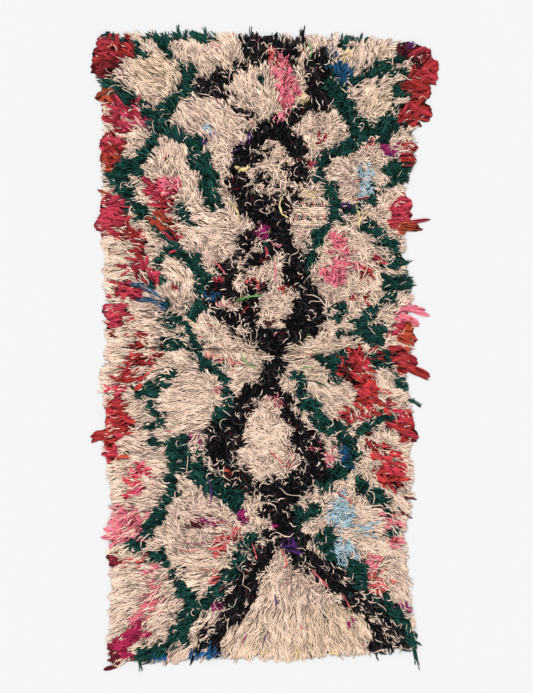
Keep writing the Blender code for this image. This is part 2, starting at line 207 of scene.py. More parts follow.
# Patches of other yarns and rags in the pattern: x, y, half sizes across and along, and turn in degrees
PATCHES = (
    "black", (155, 110, 56, 72, 0), (40, 30, 80, 34, 0), (-40, 98, 46, 36, 0), (-15, 188, 36, 14, 0),
    (-125, 175, 42, 45, 0), (110, 250, 34, 56, 0), (-105, -285, 60, 58, 0), (155, -300, 55, 45, 0),
    (-30, -160, 26, 50, 0), (80, -195, 24, 36, 0), (20, -445, 110, 32, 0), (60, -560, 80, 52, 0),
    (10, 960, 75, 40, 0), (95, 930, 30, 45, 0), (30, 985, 90, 30, 0), "ivory", (85, 1000, 8, 26, 0),
    "black", (195, 905, 22, 60, 0), (0, 548, 18, 26, 0), (85, 570, 26, 14, 0),
    (20, 625, 14, 22, 0), (-25, 600, 22, 16, 0), (60, 500, 16, 14, 0), "ivory", (-10, -560, 30, 26, 0),
    "green", (150, -530, 34, 30, 0), (-90, -490, 34, 60, 30), "pale", (80, -760, 70, 60, 0),
    (-190, -600, 120, 130, 0), "cream", (370, 795, 45, 48, 0), (395, 955, 40, 28, 25),
    (-330, 870, 80, 70, 0), "red", (-450, 952, 40, 40, -20), "crimson", (-512, 965, 26, 30, 0), "green",
    (-500, 1005, 30, 14, 0), "deep red", (-495, 906, 58, 36, 0), "orange", (-490, 802, 36, 14, -15),
    "crimson", (-430, 740, 60, 45, -20), "hot pink", (-405, 730, 42, 34, -20), "red",
    (-480, 640, 50, 40, 0), "orange", (-470, 600, 40, 18, 0), "crimson", (-470, 430, 50, 70, 0),
    (-310, 480, 45, 60, 10), "pink", (-300, 520, 30, 25, 0), "orange", (-300, 400, 35, 18, 0), "crimson",
    (-280, 350, 22, 22, 0), "red", (-410, 360, 35, 16, -15), (-380, 300, 20, 30, 20), "crimson",
    (-370, 250, 50, 20, -25), (-420, 180, 45, 24, -10), (-460, 110, 45, 35, 0), "deep red",
    (-455, 70, 40, 13, 0), "red", (-390, 20, 30, 20, -30), (-370, -30, 70, 16, 8), (-410, -90, 40, 16, -8),
    "crimson", (-450, -130, 35, 14, 0), "red", (-470, -190, 45, 26, 0), (-440, -240, 50, 26, 0),
    (-480, -290, 40, 26, 0), "crimson", (-480, -340, 35, 14, 0), "orange", (-440, -350, 25, 12, 0),
    "hot pink", (-380, -390, 32, 20, 0), (-390, -440, 45, 16, 10), "faded pink", (-430, -555, 65, 55, 25),
    (-470, -610, 45, 24, 0), "coral", (-400, -680, 50, 14, 15), "maroon", (-470, -670, 25, 14, 0),
    "faded pink", (-360, -720, 30, 16, 15), (-340, -760, 32, 20, 30), (-340, -810, 32, 22, 30),
    (-380, -860, 36, 24, 30), "raspberry", (-400, -910, 36, 22, 30), (-450, -960, 42, 28, 35), "maroon",
    (-480, -1000, 30, 20, 30), "black", (40, 420, 62, 56, 0), "purple", (500, 975, 30, 16, -30), "maroon",
    (480, 945, 30, 18, -30), "red", (530, 910, 40, 45, 0), (510, 860, 60, 40, 20), (520, 800, 40, 30, 0),
    (480, 760, 45, 26, 20), (480, 690, 22, 16, 0), (480, 620, 30, 28, 0), "crimson", (450, 440, 40, 45, 0),
    "orange", (470, 390, 50, 22, 0), "red", (330, 240, 26, 16, -20), "crimson", (370, 290, 14, 18, 0),
    "red", (310, 155, 14, 14, 0), "pink", (490, 100, 50, 32, -20), "orange", (470, 45, 36, 26, -20),
    "crimson", (430, 65, 26, 14, 0), "red", (310, -30, 34, 38, -30), (280, -70, 28, 26, -30),
    (330, -120, 56, 30, -35), (330, -170, 62, 20, -20), (290, -210, 50, 18, 0), (470, -40, 55, 40, -20),
    (400, -20, 30, 12, 0), "crimson", (410, -180, 26, 10, 0), "red", (450, -250, 50, 34, -25),
    (350, -310, 18, 36, 0), (390, -320, 18, 18, 0), (410, -400, 40, 60, 25), "faded pink",
    (430, -550, 36, 14, -25), (440, -620, 36, 14, -25), "crimson", (420, -600, 26, 10, -25), "faded pink",
    (360, -680, 26, 30, -20), "coral", (380, -750, 40, 30, -20), "pink", (90, 820, 34, 75, 0),
    (70, 900, 36, 30, 0), "red", (50, 920, 14, 14, 0), "coral", (40, 940, 14, 22, 0), "pink",
    (60, 740, 18, 26, 0), (260, 330, 36, 40, 20), (240, 240, 50, 40, 0), (310, 270, 34, 12, 0), "sky",
    (333, 540, 17, 52, 0), (250, -480, 26, 22, 0), (260, -540, 34, 45, 0), (340, -570, 50, 12, 8),
    (270, -640, 38, 36, -20), (-180, 700, 10, 18, 0), "blue", (260, 895, 32, 44, 0),
    (-160, 165, 26, 10, 20), (270, -330, 16, 20, 0), (280, -370, 10, 10, 0), "bright blue",
    (-185, -975, 38, 18, 30), (-330, -995, 16, 14, 0), "yellow", (280, 950, 14, 10, 0),
    (140, 800, 14, 14, 0), (80, 600, 12, 10, 0), (160, 490, 14, 8, 0), "ivory", (116, 462, 12, 12, 0),
    (34, 445, 12, 10, 0), (82, 496, 14, 10, 0), (110, 527, 20, 11, 0), "yellow", (10, -980, 14, 10, 0),
    (120, -980, 12, 10, 0), (230, -980, 16, 10, 0), "purple", (-180, 670, 14, 16, 0),
    (-50, 670, 14, 10, 0), "magenta", (10, 365, 18, 12, 0), "purple", (270, 460, 10, 10, 0), "magenta",
    (-210, -290, 22, 12, 0), "maroon", (-200, -568, 45, 9, 0), "magenta", (-60, -540, 18, 26, -20),
    (40, -570, 16, 14, 0), "purple", (100, -625, 22, 8, -20), "magenta", (-140, -820, 18, 12, 0),
    (450, -830, 16, 12, 0), (290, -875, 10, 10, 0), "coral", (-100, -605, 52, 18, 0), "red",
    (-80, -612, 30, 12, 0), "coral", (-140, -640, 28, 22, 0), (-140, -730, 20, 16, 0), "magenta",
    (-150, -562, 34, 9, 0), "orange", (-100, -400, 24, 14, 0), "red", (80, 190, 22, 18, 0), "coral",
    (-20, 210, 16, 10, 0), "crimson", (-140, 220, 14, 18, 30), "coral", (-140, -30, 24, 12, 0), "lime",
    (-50, 165, 20, 8, 0), (150, 40, 10, 10, 0), "coral", (100, -360, 18, 10, 0), "pink",
    (170, -330, 10, 14, 0), (220, -360, 12, 22, 0), "coral", (-100, -50, 18, 8, 0), "pink",
    (-150, -140, 12, 10, 0), (40, -160, 14, 14, 0), "maroon", (40, 70, 30, 10, 0), "red",
    (-270, 190, 12, 8, 0), "magenta", (420, 640, 20, 14, 0), "purple", (420, 620, 12, 8, 0), "yellow",
    (300, 470, 10, 10, 0), "crimson", (200, 680, 14, 10, 30), "coral", (350, 670, 14, 10, 0), "crimson",
    (170, 590, 12, 10, 0), (300, 490, 14, 10, 30), "green", (205, -30, 44, 15, 8), (222, -62, 8, 34, 8),
    (385, -52, 44, 14, -10), (428, -24, 26, 8, -14), (355, -32, 20, 6, -14), (-215, 1003, 75, 22, 0),
    "black", (-125, 882, 40, 14, 18), (-62, 908, 34, 12, 32), "green", (0, 852, 11, 14, 0),
    (-393, 950, 13, 32, 45), (4, 314, 15, 18, 0), "crimson", (14, 300, 10, 12, 0), "pale",
    (-105, 130, 26, 18, 0), "faded pink", (-122, 128, 10, 9, 0), "ivory", (-62, 62, 18, 13, 0),
)

# Rags that reach past the rim: x and y of their tips, lean in degrees from straight out, length and width
RIM_RAGS = (
    "crimson", (-528, 980, 10, 80, 40), "red", (-540, 945, 0, 110, 60), "deep red",
    (-545, 905, 0, 110, 60), "orange", (-532, 805, 5, 90, 34), "crimson", (-510, 765, -10, 80, 40),
    (-518, 655, 0, 90, 50), "red", (-512, 612, 10, 90, 55), "orange", (-523, 510, -25, 80, 12), "crimson",
    (-537, 393, 5, 110, 42), (-522, 425, -5, 110, 55), (-515, 460, 0, 90, 50), (-508, 125, -5, 90, 48),
    (-500, 85, 0, 80, 34), "red", (-498, -190, 0, 90, 36), (-545, -287, 15, 110, 36), "crimson",
    (-512, -338, 0, 90, 20), "pink", (-505, -575, 0, 80, 18), (-513, -603, 0, 90, 18), "maroon",
    (-497, -668, 0, 60, 20), (-488, -975, 15, 60, 16), (-503, -1030, -10, 60, 15), "red",
    (550, 960, 10, 100, 50), (577, 915, 0, 120, 60), (572, 860, 0, 120, 50), (550, 815, -5, 110, 55),
    (555, 745, -10, 120, 55), "maroon", (520, 712, -25, 80, 18), "red", (510, 645, 0, 80, 26),
    (502, 605, 5, 80, 40), "crimson", (492, 460, 0, 90, 50), (490, 430, 0, 90, 40), (550, 415, 5, 120, 12),
    "orange", (525, 378, -5, 120, 18), (512, 395, 5, 120, 30), "pink", (547, 105, -20, 90, 14),
    (532, 122, -8, 80, 18), (508, 136, 5, 60, 16), (512, 78, -25, 80, 22), "orange",
    (505, 25, -20, 90, 42), "red", (550, -88, -10, 120, 26), (508, -50, 0, 100, 45),
    (510, -287, -25, 100, 36), (500, -245, -10, 100, 50),
)

# Locks of yarn that reach past the rim: x and y of their tips, lean in degrees from straight out, strands
RIM_TAILS = (
    "ivory", (-523, -90, 5, 10), (-525, -135, -5, 9), (-515, -110, 0, 8), "green", (522, -182, -35, 9),
    (490, 285, 10, 9), (500, 235, 5, 8), (505, 205, -10, 10), "maroon", (505, -482, -10, 5),
    (495, -545, -20, 5), "green", (522, -950, -30, 12), (510, -1035, 15, 7), "black", (-495, 1022, 20, 8),
    "green", (-520, 1000, 20, 6), (-265, 1043, 5, 7), (-235, 1030, -5, 7), (-180, 1035, 10, 9), "black",
    (-32, 1043, 5, 2), (-65, 1020, 10, 7), (-45, 1015, 0, 6), (-10, 1022, 0, 6), (40, 1022, -5, 2),
    (75, 1022, 0, 3), (128, 1040, 10, 6), (142, 1043, -5, 7), "ivory", (246, 1022, -15, 3), "green",
    (330, 1015, -15, 8), (-380, -1037, 5, 6), "black", (-225, -1018, -20, 5), (165, -1010, 5, 2),
    (380, -1005, 10, 5),
)

# Single threads and ribbons on top of the pile: radius in tenths of a millimetre, and the points they pass
THREADS = (
    "yellow", (75, -78, 580, -62, 577, -44, 566), (65, -68, 568, -50, 574, -30, 583),
    (45, -95, 470, -80, 455, -70, 430, -65, 405), (45, 68, 485, 63, 455, 72, 430, 92, 418),
    (45, 150, 500, 165, 492, 180, 480), (40, 310, 445, 318, 420, 315, 390),
    (25, 345, 445, 328, 425, 318, 405), "maroon", (18, -215, -528, -180, -532, -140, -526),
    (18, -250, -570, -215, -572, -180, -566), (18, -180, -585, -140, -590, -100, -582), "magenta",
    (16, -240, -618, -200, -622, -170, -616), "coral", (22, -150, -548, -110, -556, -80, -580, -78, -596),
    (18, -260, -640, -225, -645, -190, -640), "maroon", (16, -230, -668, -190, -672, -160, -664), "coral",
    (20, -200, -700, -170, -706, -140, -700), "purple", (30, -165, -415, -155, -450, -158, -500), "cream",
    (28, -82, 30, -66, 10, -40, -2, -10, -4), (26, -75, 20, -55, 0, -30, -10, 0, -10),
    (26, -70, 34, -50, 18, -25, 6, 0, 6), (28, -10, -20, 15, -26, 50, -22), "ivory",
    (26, -5, -28, 20, -33, 48, -30), "cream", (28, 75, -6, 105, 4, 140, -4, 175, 6, 205, 4),
    (26, 80, 4, 110, 12, 145, 4, 190, 14), (28, 90, -14, 125, -6, 160, -14, 200, -4, 225, -10), "ivory",
    (26, 65, -28, 95, -34, 130, -26, 165, -34), "cream", (26, 72, -36, 105, -42, 140, -34, 172, -40),
    (26, 210, 10, 245, 0, 280, 8, 310, 0), "ivory", (24, 225, 18, 260, 10, 295, 16), "maroon",
    (26, 85, -28, 110, -30, 145, -32, 180, -26), (24, -12, -18, 10, -20, 45, -21), "black",
    (24, -230, 1, -190, -2, -150, 2, -110, -3), (22, -450, 6, -390, 2, -340, 5, -280, 1), "ivory",
    (22, 60, -440, 90, -465, 130, -470, 150, -500), (22, -20, -470, 0, -490, 40, -495, 55, -520),
    (20, 30, -600, 50, -585, 90, -600, 110, -585), (20, -70, -700, -50, -720, -55, -750, -30, -770),
    (20, -110, -560, -80, -545, -60, -570), "lime", (30, -70, -5, -45, -40, -12, -64),
    (28, 125, -65, 150, -58, 172, -60), (26, 150, 985, 165, 955, 160, 930),
    (30, -75, 155, -40, 165, 10, 172), "blue", (27, -420, 206, -370, 195, -330, 168), "bright blue",
    (27, -415, 212, -372, 204, -332, 178, -318, 160), "blue", (24, -405, 200, -365, 188, -335, 160),
    (24, -395, 213, -360, 199, -328, 172, -322, 166), "bright blue",
    (27, -400, 158, -350, 155, -320, 140, -300, 130), "blue",
    (27, -398, 163, -352, 161, -318, 147, -296, 140), (24, -392, 153, -350, 150, -322, 134, -306, 122),
    (24, -370, 166, -335, 158, -306, 150, -292, 128), (22, 230, 1010, 233, 970, 225, 940), "coral",
    (30, -155, 285, -130, 265, -110, 238), (28, 25, -318, 50, -345, 72, -365),
    (28, 240, -455, 275, -475, 298, -495), (32, 165, -705, 195, -735, 220, -765),
    (30, 265, -785, 280, -810, 290, -830), (34, 70, -640, 85, -680, 75, -700), "pink",
    (34, 45, 280, 50, 245, 45, 215), (30, 30, 345, 60, 325, 70, 335), "coral",
    (30, -25, -620, -15, -650, -10, -670), "purple", (30, 65, -630, 100, -645, 145, -655),
    (35, 48, -785, 50, -800, 52, -820), (22, 28, -900, 15, -925, 5, -950), "magenta",
    (30, -40, -910, -50, -925, -60, -940), "purple", (28, -100, 625, -80, 632, -65, 640), "red",
    (30, -60, 110, -45, 130, -35, 135), "maroon", (30, -200, 415, -180, 405, -165, 395), "green",
    (18, 290, 0, 287, -50, 272, -100), (30, 140, -100, 180, -105, 225, -125),
    (30, 215, -35, 233, -65, 238, -100), (30, 205, -30, 225, -22, 262, -40),
    (18, 385, -690, 375, -720, 360, -745), (14, -300, -820, -275, -860, -240, -880), "ivory",
    (22, 145, 175, 185, 165, 215, 130), (22, -115, 765, -85, 750, -30, 745),
    (20, -105, 745, -70, 738, -40, 730), "black", (18, 105, -680, 102, -720, 98, -775),
    (16, 110, -840, 100, -850, 95, -865), (16, 175, 595, 190, 620, 230, 635),
)

# Where the pile is worn to the weave
WORN_X, WORN_Y = 0.162, 0.430
WORN_HALF_WIDTH, WORN_HALF_LENGTH = 0.058, 0.050
WORN_TOP = 0.0085

# The fold across the middle, and smaller furrows: both ends of the line the pile parts along, width and depth
FURROWS = (
    (-0.46, 0.002, 0.02, -0.016, 0.018, 0.72),
    (0.02, -0.016, 0.46, -0.028, 0.018, 0.55),
    (0.20, 0.525, 0.33, 0.520, 0.014, 0.50),
    (-0.30, -0.570, -0.08, -0.575, 0.014, 0.45),
)

random = np.random.default_rng(23)


def smooth(t):
    """Rises from 0 to 1 with level ends."""
    t = np.clip(t, 0, 1)
    return t * t * (3 - 2 * t)


def between(grid, i, j, s, t):
    """A grid's values between its points, at shares s and t of the way from point i, j to the next."""
    low = grid[i, j] * (1 - s) + grid[i + 1, j] * s
    high = grid[i, j + 1] * (1 - s) + grid[i + 1, j + 1] * s
    return low * (1 - t) + high * t


def lumps(x, y, size, seed):
    """Smooth noise from 0 to 1, with about one lump to each size of floor."""
    lattice = np.random.default_rng(seed).random((256, 256))
    u, v = x / size + 128, y / size + 128
    i, j = np.floor(u).astype(int), np.floor(v).astype(int)
    return between(lattice, i % 255, j % 255, smooth(u - i), smooth(v - j))


def side_edges(y):
    """Where the left and the right edge lie at places along the rug."""
    return np.interp(y, SIDE_Y, SIDE_LEFT), np.interp(y, SIDE_Y, SIDE_RIGHT)


def end_edges(x):
    """Where the near and the far edge lie at places across the rug."""
    return np.interp(x, END_X, END_NEAR), np.interp(x, END_X, END_FAR)


def inset(x, y):
    """How far inside the rim a point of the floor lies; less than 0 outside it."""
    left, right = side_edges(y)
    near, far = end_edges(x)
    return np.minimum(np.minimum(x - left, right - x), np.minimum(y - near, far - y))


def to_segment(x, y, x0, y0, x1, y1):
    """How far points lie from a straight piece of line."""
    dx, dy = x1 - x0, y1 - y0
    share = np.clip(((x - x0) * dx + (y - y0) * dy) / (dx * dx + dy * dy), 0, 1)
    return np.hypot(x - x0 - dx * share, y - y0 - dy * share)


def pile_top(x, y):
    """Height of the top of the pile as it lies, down to nothing some way outside the rim."""
    height = PILE_TOP + LUMP_HEIGHT * (lumps(x, y, 0.045, 1) + 0.5 * lumps(x, y, 0.020, 2) - 0.75)
    for *line, width, depth in FURROWS:
        height = height * (1 - depth * (1 - smooth(to_segment(x, y, *line) / width)))
    inside = inset(x, y)
    height = RIM_TOP + (height - RIM_TOP) * smooth(inside / RIM_RISE)
    return height * smooth((inside + RIM_DROP) / RIM_DROP)


COMB_SOFTNESS = 0.0006  # how softly one station of the combing passes into the next


def comb(x, y):
    """Heading in radians and jumble from 0 to 1 of the pile at points."""
    off = (x[:, None] - COMB_X) ** 2 + (y[:, None] - COMB_Y) ** 2
    weight = 1 / (off + COMB_SOFTNESS) ** 2
    weight /= weight.sum(1, keepdims=True)
    angle = np.radians(COMB_HEADING)
    return np.arctan2(weight @ np.sin(angle), weight @ np.cos(angle)), weight @ COMB_JUMBLE


def is_worn(x, y):
    """Where the pile is worn off."""
    return ((x - WORN_X) / WORN_HALF_WIDTH) ** 2 + ((y - WORN_Y) / WORN_HALF_LENGTH) ** 2 < 1


YARN_NAMES = list(YARNS)
YARN_HUES = np.array([yarn.hue for yarn in YARNS.values()])
NO_YARN = len(YARN_NAMES)
HALF_WIDTH, HALF_LENGTH = 0.66, 1.14  # of the floor that the pattern is charted on
CHART_STEP = 0.003


def numbers_of(batch):
    """The numbers that a batch's yarns have in the chart."""
    return [number for number, yarn in enumerate(YARNS.values()) if yarn.batch == batch]


def floor_grid(step):
    """Points of a grid over the floor under the rug."""
    xs, ys = np.arange(-HALF_WIDTH, HALF_WIDTH, step), np.arange(-HALF_LENGTH, HALF_LENGTH, step)
    return np.meshgrid(xs, ys, indexing="ij")


def wander(place, x, y, seed):
    """A coordinate, moved as the edges of bands and patches wander from where they are drawn."""
    return place + 0.034 * (lumps(x, y, 0.024, seed) - 0.5) + 0.026 * (lumps(x, y, 0.009, seed + 2) - 0.5)


def draw_chart():
    """The pattern's yarns on a fine grid over the rug, from its bands and patches."""
    x, y = floor_grid(CHART_STEP)
    px, py = wander(x, x, y, 5), wander(y, x, y, 6)
    chart = np.full(x.shape, YARN_NAMES.index("ivory"))
    for yarn, (width, *line) in by_yarn(BANDS):
        points = line_points(line)
        off = np.min([to_segment(px, py, *a, *b) for a, b in zip(points, points[1:])], axis=0)
        chart[off < width / MM / 2] = YARN_NAMES.index(yarn)
    for yarn, (*sizes, degrees) in by_yarn(PATCHES):
        (centre_x, centre_y), (half_across, half_along) = line_points(sizes)
        turn = math.radians(degrees)
        across = (px - centre_x) * math.cos(turn) + (py - centre_y) * math.sin(turn)
        along = (py - centre_y) * math.cos(turn) - (px - centre_x) * math.sin(turn)
        chart[(across / half_across) ** 2 + (along / half_along) ** 2 < 1] = YARN_NAMES.index(yarn)
    chart[is_worn(x, y)] = NO_YARN
    return chart


CHART = draw_chart()


def yarn_at(x, y):
    """The number of the yarn that the pattern has at points."""
    i = np.clip(((x + HALF_WIDTH) / CHART_STEP).astype(int), 0, CHART.shape[0] - 1)
    j = np.clip(((y + HALF_LENGTH) / CHART_STEP).astype(int), 0, CHART.shape[1] - 1)
    return CHART[i, j]


FLOW_STEP = 0.01
MEANDER_LEAST, MEANDER_RISE = 0.35, 2.6  # how far locks meander in neat pile, and how that rises with jumble


def draw_flow():
    """The pile's heading, as cosine and sine, and its jumble, on a grid over the rug."""
    x, y = floor_grid(FLOW_STEP)
    heading, jumble = comb(x.ravel(), y.ravel())
    return [values.reshape(x.shape) for values in (np.cos(heading), np.sin(heading), jumble)]


FLOW = draw_flow()


def flow(x, y):
    """Heading and jumble of the pile at points, with the meanders of its locks."""
    u, v = (x + HALF_WIDTH) / FLOW_STEP, (y + HALF_LENGTH) / FLOW_STEP
    i = np.clip(u.astype(int), 0, FLOW[0].shape[0] - 2)
    j = np.clip(v.astype(int), 0, FLOW[0].shape[1] - 2)
    s, t = np.clip(u - i, 0, 1), np.clip(v - j, 0, 1)
    along, across, jumble = (between(grid, i, j, s, t) for grid in FLOW)
    meander = 1.0 * (lumps(x, y, 0.050, 10) - 0.5) + 1.3 * (lumps(x, y, 0.019, 15) - 0.5)
    meander = meander * np.clip(MEANDER_LEAST + MEANDER_RISE * jumble, 0.5, 1.2)
    return np.arctan2(across, along) + meander, jumble


PATH_STEPS = 12

# Strands are kept as one array of records
FIELDS = "x y follow turn length curl cut layer tip gather radius hue shade wave sway"
STRAND = np.dtype([(name, float) for name in FIELDS.split()] + [("path", float, (PATH_STEPS + 1, 2))])


def fill_in(records, **values):
    """Fills in fields of an array of records."""
    for field, value in values.items():
        records[field] = value
    return records


def lay(strands):
    """Finds the path over the floor of each strand, step by step with the way the pile lies."""
    x, y = strands["x"].copy(), strands["y"].copy()
    step = strands["length"] / PATH_STEPS
    for k in range(PATH_STEPS + 1):
        t = k / PATH_STEPS
        heading = strands["follow"] * flow(x, y)[0] + strands["turn"] + strands["curl"] * t
        kink = strands["wave"] + 2 * math.pi * t * strands["length"] / WAVE_LENGTH
        sway = strands["sway"] * np.sin(kink) * min(3 * t, 1) - strands["gather"] * smooth(t / 0.9)
        strands["path"][:, k, 0] = x - sway * np.sin(heading)
        strands["path"][:, k, 1] = y + sway * np.cos(heading)
        x, y = x + step * np.cos(heading), y + step * np.sin(heading)
    strands["cut"] = 1.0
    return strands


def cut_short(strands, stop, least):
    """Cuts strands at the first step of their path that is to be stopped at, but not under a least share."""
    stop = stop & (np.arange(PATH_STEPS + 1) >= least * PATH_STEPS)
    first = np.where(stop.any(1), stop.argmax(1), PATH_STEPS)
    strands["cut"] = np.minimum(strands["cut"], first / PATH_STEPS)
    return strands


def plant_knots():
    """Places of the knots over the ground, row by row."""
    xs, ys = np.arange(-0.56, 0.56, KNOT_GAP_X), np.arange(-1.04, 1.04, KNOT_GAP_Y)
    x, y = (grid.ravel() for grid in np.meshgrid(xs, ys))
    x = x + random.normal(0, KNOT_JITTER, x.shape)
    y = y + random.normal(0, KNOT_JITTER, y.shape)
    keep = (inset(x, y) > KNOT_INSET) & ~is_worn(x, y)
    return x[keep], y[keep]


def within_reach(strands):
    """Cuts the strands that would reach too far past the rim."""
    x, y = strands["path"][..., 0], strands["path"][..., 1]
    limit = RIM_REACH[0] + (RIM_REACH[1] - RIM_REACH[0]) * lumps(x, y, 0.018, 9) ** 1.5
    return cut_short(strands, inset(x, y) < -limit, LEAST_AT_RIM)


LOCK_GAP = 0.027  # how far apart the locks lie that the strands gather in
CANDIDATES = 8  # strands drawn for a knot, before its yarn says how many are kept
WAVE_LENGTH = 0.030  # of the kinks left in the wool by its spinning
OVERHANG = 0.008  # how far strands may lie over a neighbouring yarn
STRAY = 0.0045  # how far strands stray over the line between two yarns
LEAST_AT_RIM, LEAST_IN_YARN = 0.2, 0.38  # least share of a strand left by a cut at the rim or between yarns


def lock_offset(x, y, heading):
    """How far each knot lies to the side of the middle of its lock."""
    u = x / LOCK_GAP + 1.2 * lumps(x, y, 0.05, 11)
    v = y / (LOCK_GAP * 1.3) + 1.2 * lumps(x, y, 0.05, 12)
    _, lock = np.unique(np.round(u).astype(int) * 1000 + np.round(v).astype(int), return_inverse=True)
    size = np.bincount(lock)
    dx, dy = x - (np.bincount(lock, x) / size)[lock], y - (np.bincount(lock, y) / size)[lock]
    return dy * np.cos(heading) - dx * np.sin(heading)


def keep_to_yarn(strands, yarn):
    """Cuts strands a little past the place where the pattern turns to another yarn."""
    differs = yarn_at(strands["path"][..., 0], strands["path"][..., 1]) != yarn
    strands = cut_short(strands, differs, LEAST_IN_YARN)
    strands["cut"] += random.uniform(0, OVERHANG, len(strands)) / strands["length"]
    strands["cut"] = np.minimum(strands["cut"], 1)
    return strands


def draw_strands(x, y, copies):
    """Strands of each knot, before they have a yarn."""
    heading, jumble = flow(x, y)
    knot = np.repeat(np.arange(len(x)), copies)
    count, mess = len(knot), jumble[knot]
    knot_turn, knot_curl = random.normal(0, 1, len(x))[knot], random.normal(0, 1, len(x))[knot]
    knot_shade = random.random(len(x))
    kink = 2.2 * lumps(x, y, 0.030, 13)
    return fill_in(
        np.zeros(count, STRAND),
        x=x[knot] + random.normal(0, 0.0050, count),
        y=y[knot] + random.normal(0, 0.0050, count),
        follow=1.0,
        turn=knot_turn * (0.04 + 1.6 * mess**1.6) + random.normal(0, 1, count) * (0.05 + 0.50 * mess),
        curl=knot_curl * (0.04 + 1.9 * mess**1.4) + random.normal(0, 1, count) * (0.06 + 1.3 * mess**1.3),
        length=random.uniform(0.70, 1.25, count) * (1.15 - 0.50 * mess),
        layer=0.60 + 0.30 * lumps(x, y, 0.024, 14)[knot] + random.uniform(0.00, 0.20, count),
        tip=random.uniform(0.25, 0.95, count),
        gather=0.35 * lock_offset(x, y, heading)[knot],
        radius=random.uniform(0.75, 1.20, count),
        shade=0.35 * knot_shade[knot] + 0.65 * random.random(count),
        wave=2 * math.pi * kink[knot] + random.normal(0, 0.8, count),
        sway=random.uniform(0.0006, 0.0026, count),
    )


# How far the hues of a batch's strands spread
SPREAD = {
    "ivory": 0.24, "green": 0.26, "black": 0.26, "pink": 0.09, "blue": 0.07, "red": 0.08, "oddment": 0.03,
}

# Share of the strands that may be ivory where the pattern has these yarns, and how many of those are
MIXED = {
    "pink": 0.10, "faded pink": 0.18, "hot pink": 0.20, "coral": 0.35, "sky": 0.06, "yellow": 0.20,
    "lime": 0.35, "purple": 0.25, "magenta": 0.15, "red": 0.03, "orange": 0.03, "crimson": 0.04,
    "maroon": 0.06,
}
MIXED_KEPT, MIXED_HUE, MIXED_LIFT = 0.7, 0.40, 0.10
DRIFT = 0.5  # how far the hue of ivory drifts over the rug


def grow_pile(x, y):
    """Strands of every knot, by batch of yarn."""
    ivory = YARNS["ivory"]
    strands = draw_strands(x, y, CANDIDATES)
    longer = np.array([yarn.length / ivory.length for yarn in YARNS.values()] + [1.0])
    strands["length"] *= ivory.length
    strands["length"] *= longer[yarn_at(strands["x"], strands["y"])]
    strands = lay(strands)
    third = strands["path"][:, PATH_STEPS // 3] + random.normal(0, STRAY, (len(strands), 2))
    yarns = yarn_at(third[:, 0], third[:, 1])
    shares = np.array([MIXED.get(name, 0.0) for name in YARN_NAMES] + [0.0])
    mixed = random.random(len(strands)) < shares[yarns]
    mixed &= random.random(len(strands)) < MIXED_KEPT
    loose = strands[mixed]
    yarns = np.where(mixed, NO_YARN, yarns)
    batches = {}
    for number, yarn in enumerate(YARNS.values()):
        part = strands[(yarns == number) & (random.random(len(strands)) < yarn.strands / CANDIDATES)]
        part["radius"] *= yarn.radius
        drift = DRIFT * (lumps(part["x"], part["y"], 0.06, 16) - 0.5) if yarn.batch == "ivory" else 0
        part["hue"] = yarn.hue + drift + random.normal(0, SPREAD[yarn.batch], len(part))
        if yarn.batch == "red":
            part = part[(np.abs(part["x"]) < WIDE_FROM) | (random.random(len(part)) < OVER_WIDE)]
        part = within_reach(keep_to_yarn(part, number))
        batches.setdefault(yarn.batch, []).append(part)
    loose["radius"] *= ivory.radius
    loose["hue"] = MIXED_HUE + random.normal(0, SPREAD["ivory"], len(loose))
    loose["layer"] += MIXED_LIFT
    batches["ivory"].append(within_reach(loose))
    return {batch: np.concatenate(parts) for batch, parts in batches.items()}


# Stray strands of one batch in another: from, to, hue, and share that is moved
FLECKS = (
    ("black", "ivory", 0.40, 0.052),
    ("green", "ivory", 0.35, 0.020),
    ("ivory", "black", 0.60, 0.004),
    ("ivory", "pink", 0.30, 0.003),
    ("black", "red", 0.90, 0.010),
    ("black", "green", 0.50, 0.03),
)


def trade_flecks(batches):
    """Moves the flecks to their batches, those in the dark yarns as thin loose curls."""
    for source, target, hue, share in FLECKS:
        strands = batches[source]
        traded = random.random(len(strands)) < share
        moved = strands[traded].copy()
        moved["hue"] = hue
        if target == "ivory":
            moved["curl"] = random.normal(0, 2.4, len(moved))
            moved["length"] *= random.uniform(0.5, 1.5, len(moved))
            moved["radius"] *= random.uniform(0.65, 1.0, len(moved))
            moved["layer"] += 0.14
            moved["sway"] *= 1.5
            moved = within_reach(lay(moved))
        elif source == "black":
            moved["curl"] += random.normal(0, 1.2, len(moved))
            moved["radius"] *= 0.85
            moved = within_reach(lay(moved))
        batches[source] = strands[~traded]
        batches[target] = np.concatenate([batches[target], moved])


FILL_STEP = 0.012  # of the grid on which thin places in the pile are looked for
FILL_INSET = 0.010  # least distance of such a place from the rim
FILL_KNOTS = 900
FILL_COPIES = 4
FILL_LENGTH = 0.040
FILL_TURN, FILL_JITTER = 0.7, 0.003  # how much more such strands turn and stray than others
FILL_SINK = 0.12  # how much lower they lie
FILL_BACK = 0.45  # share of their length that they start back from the thin place


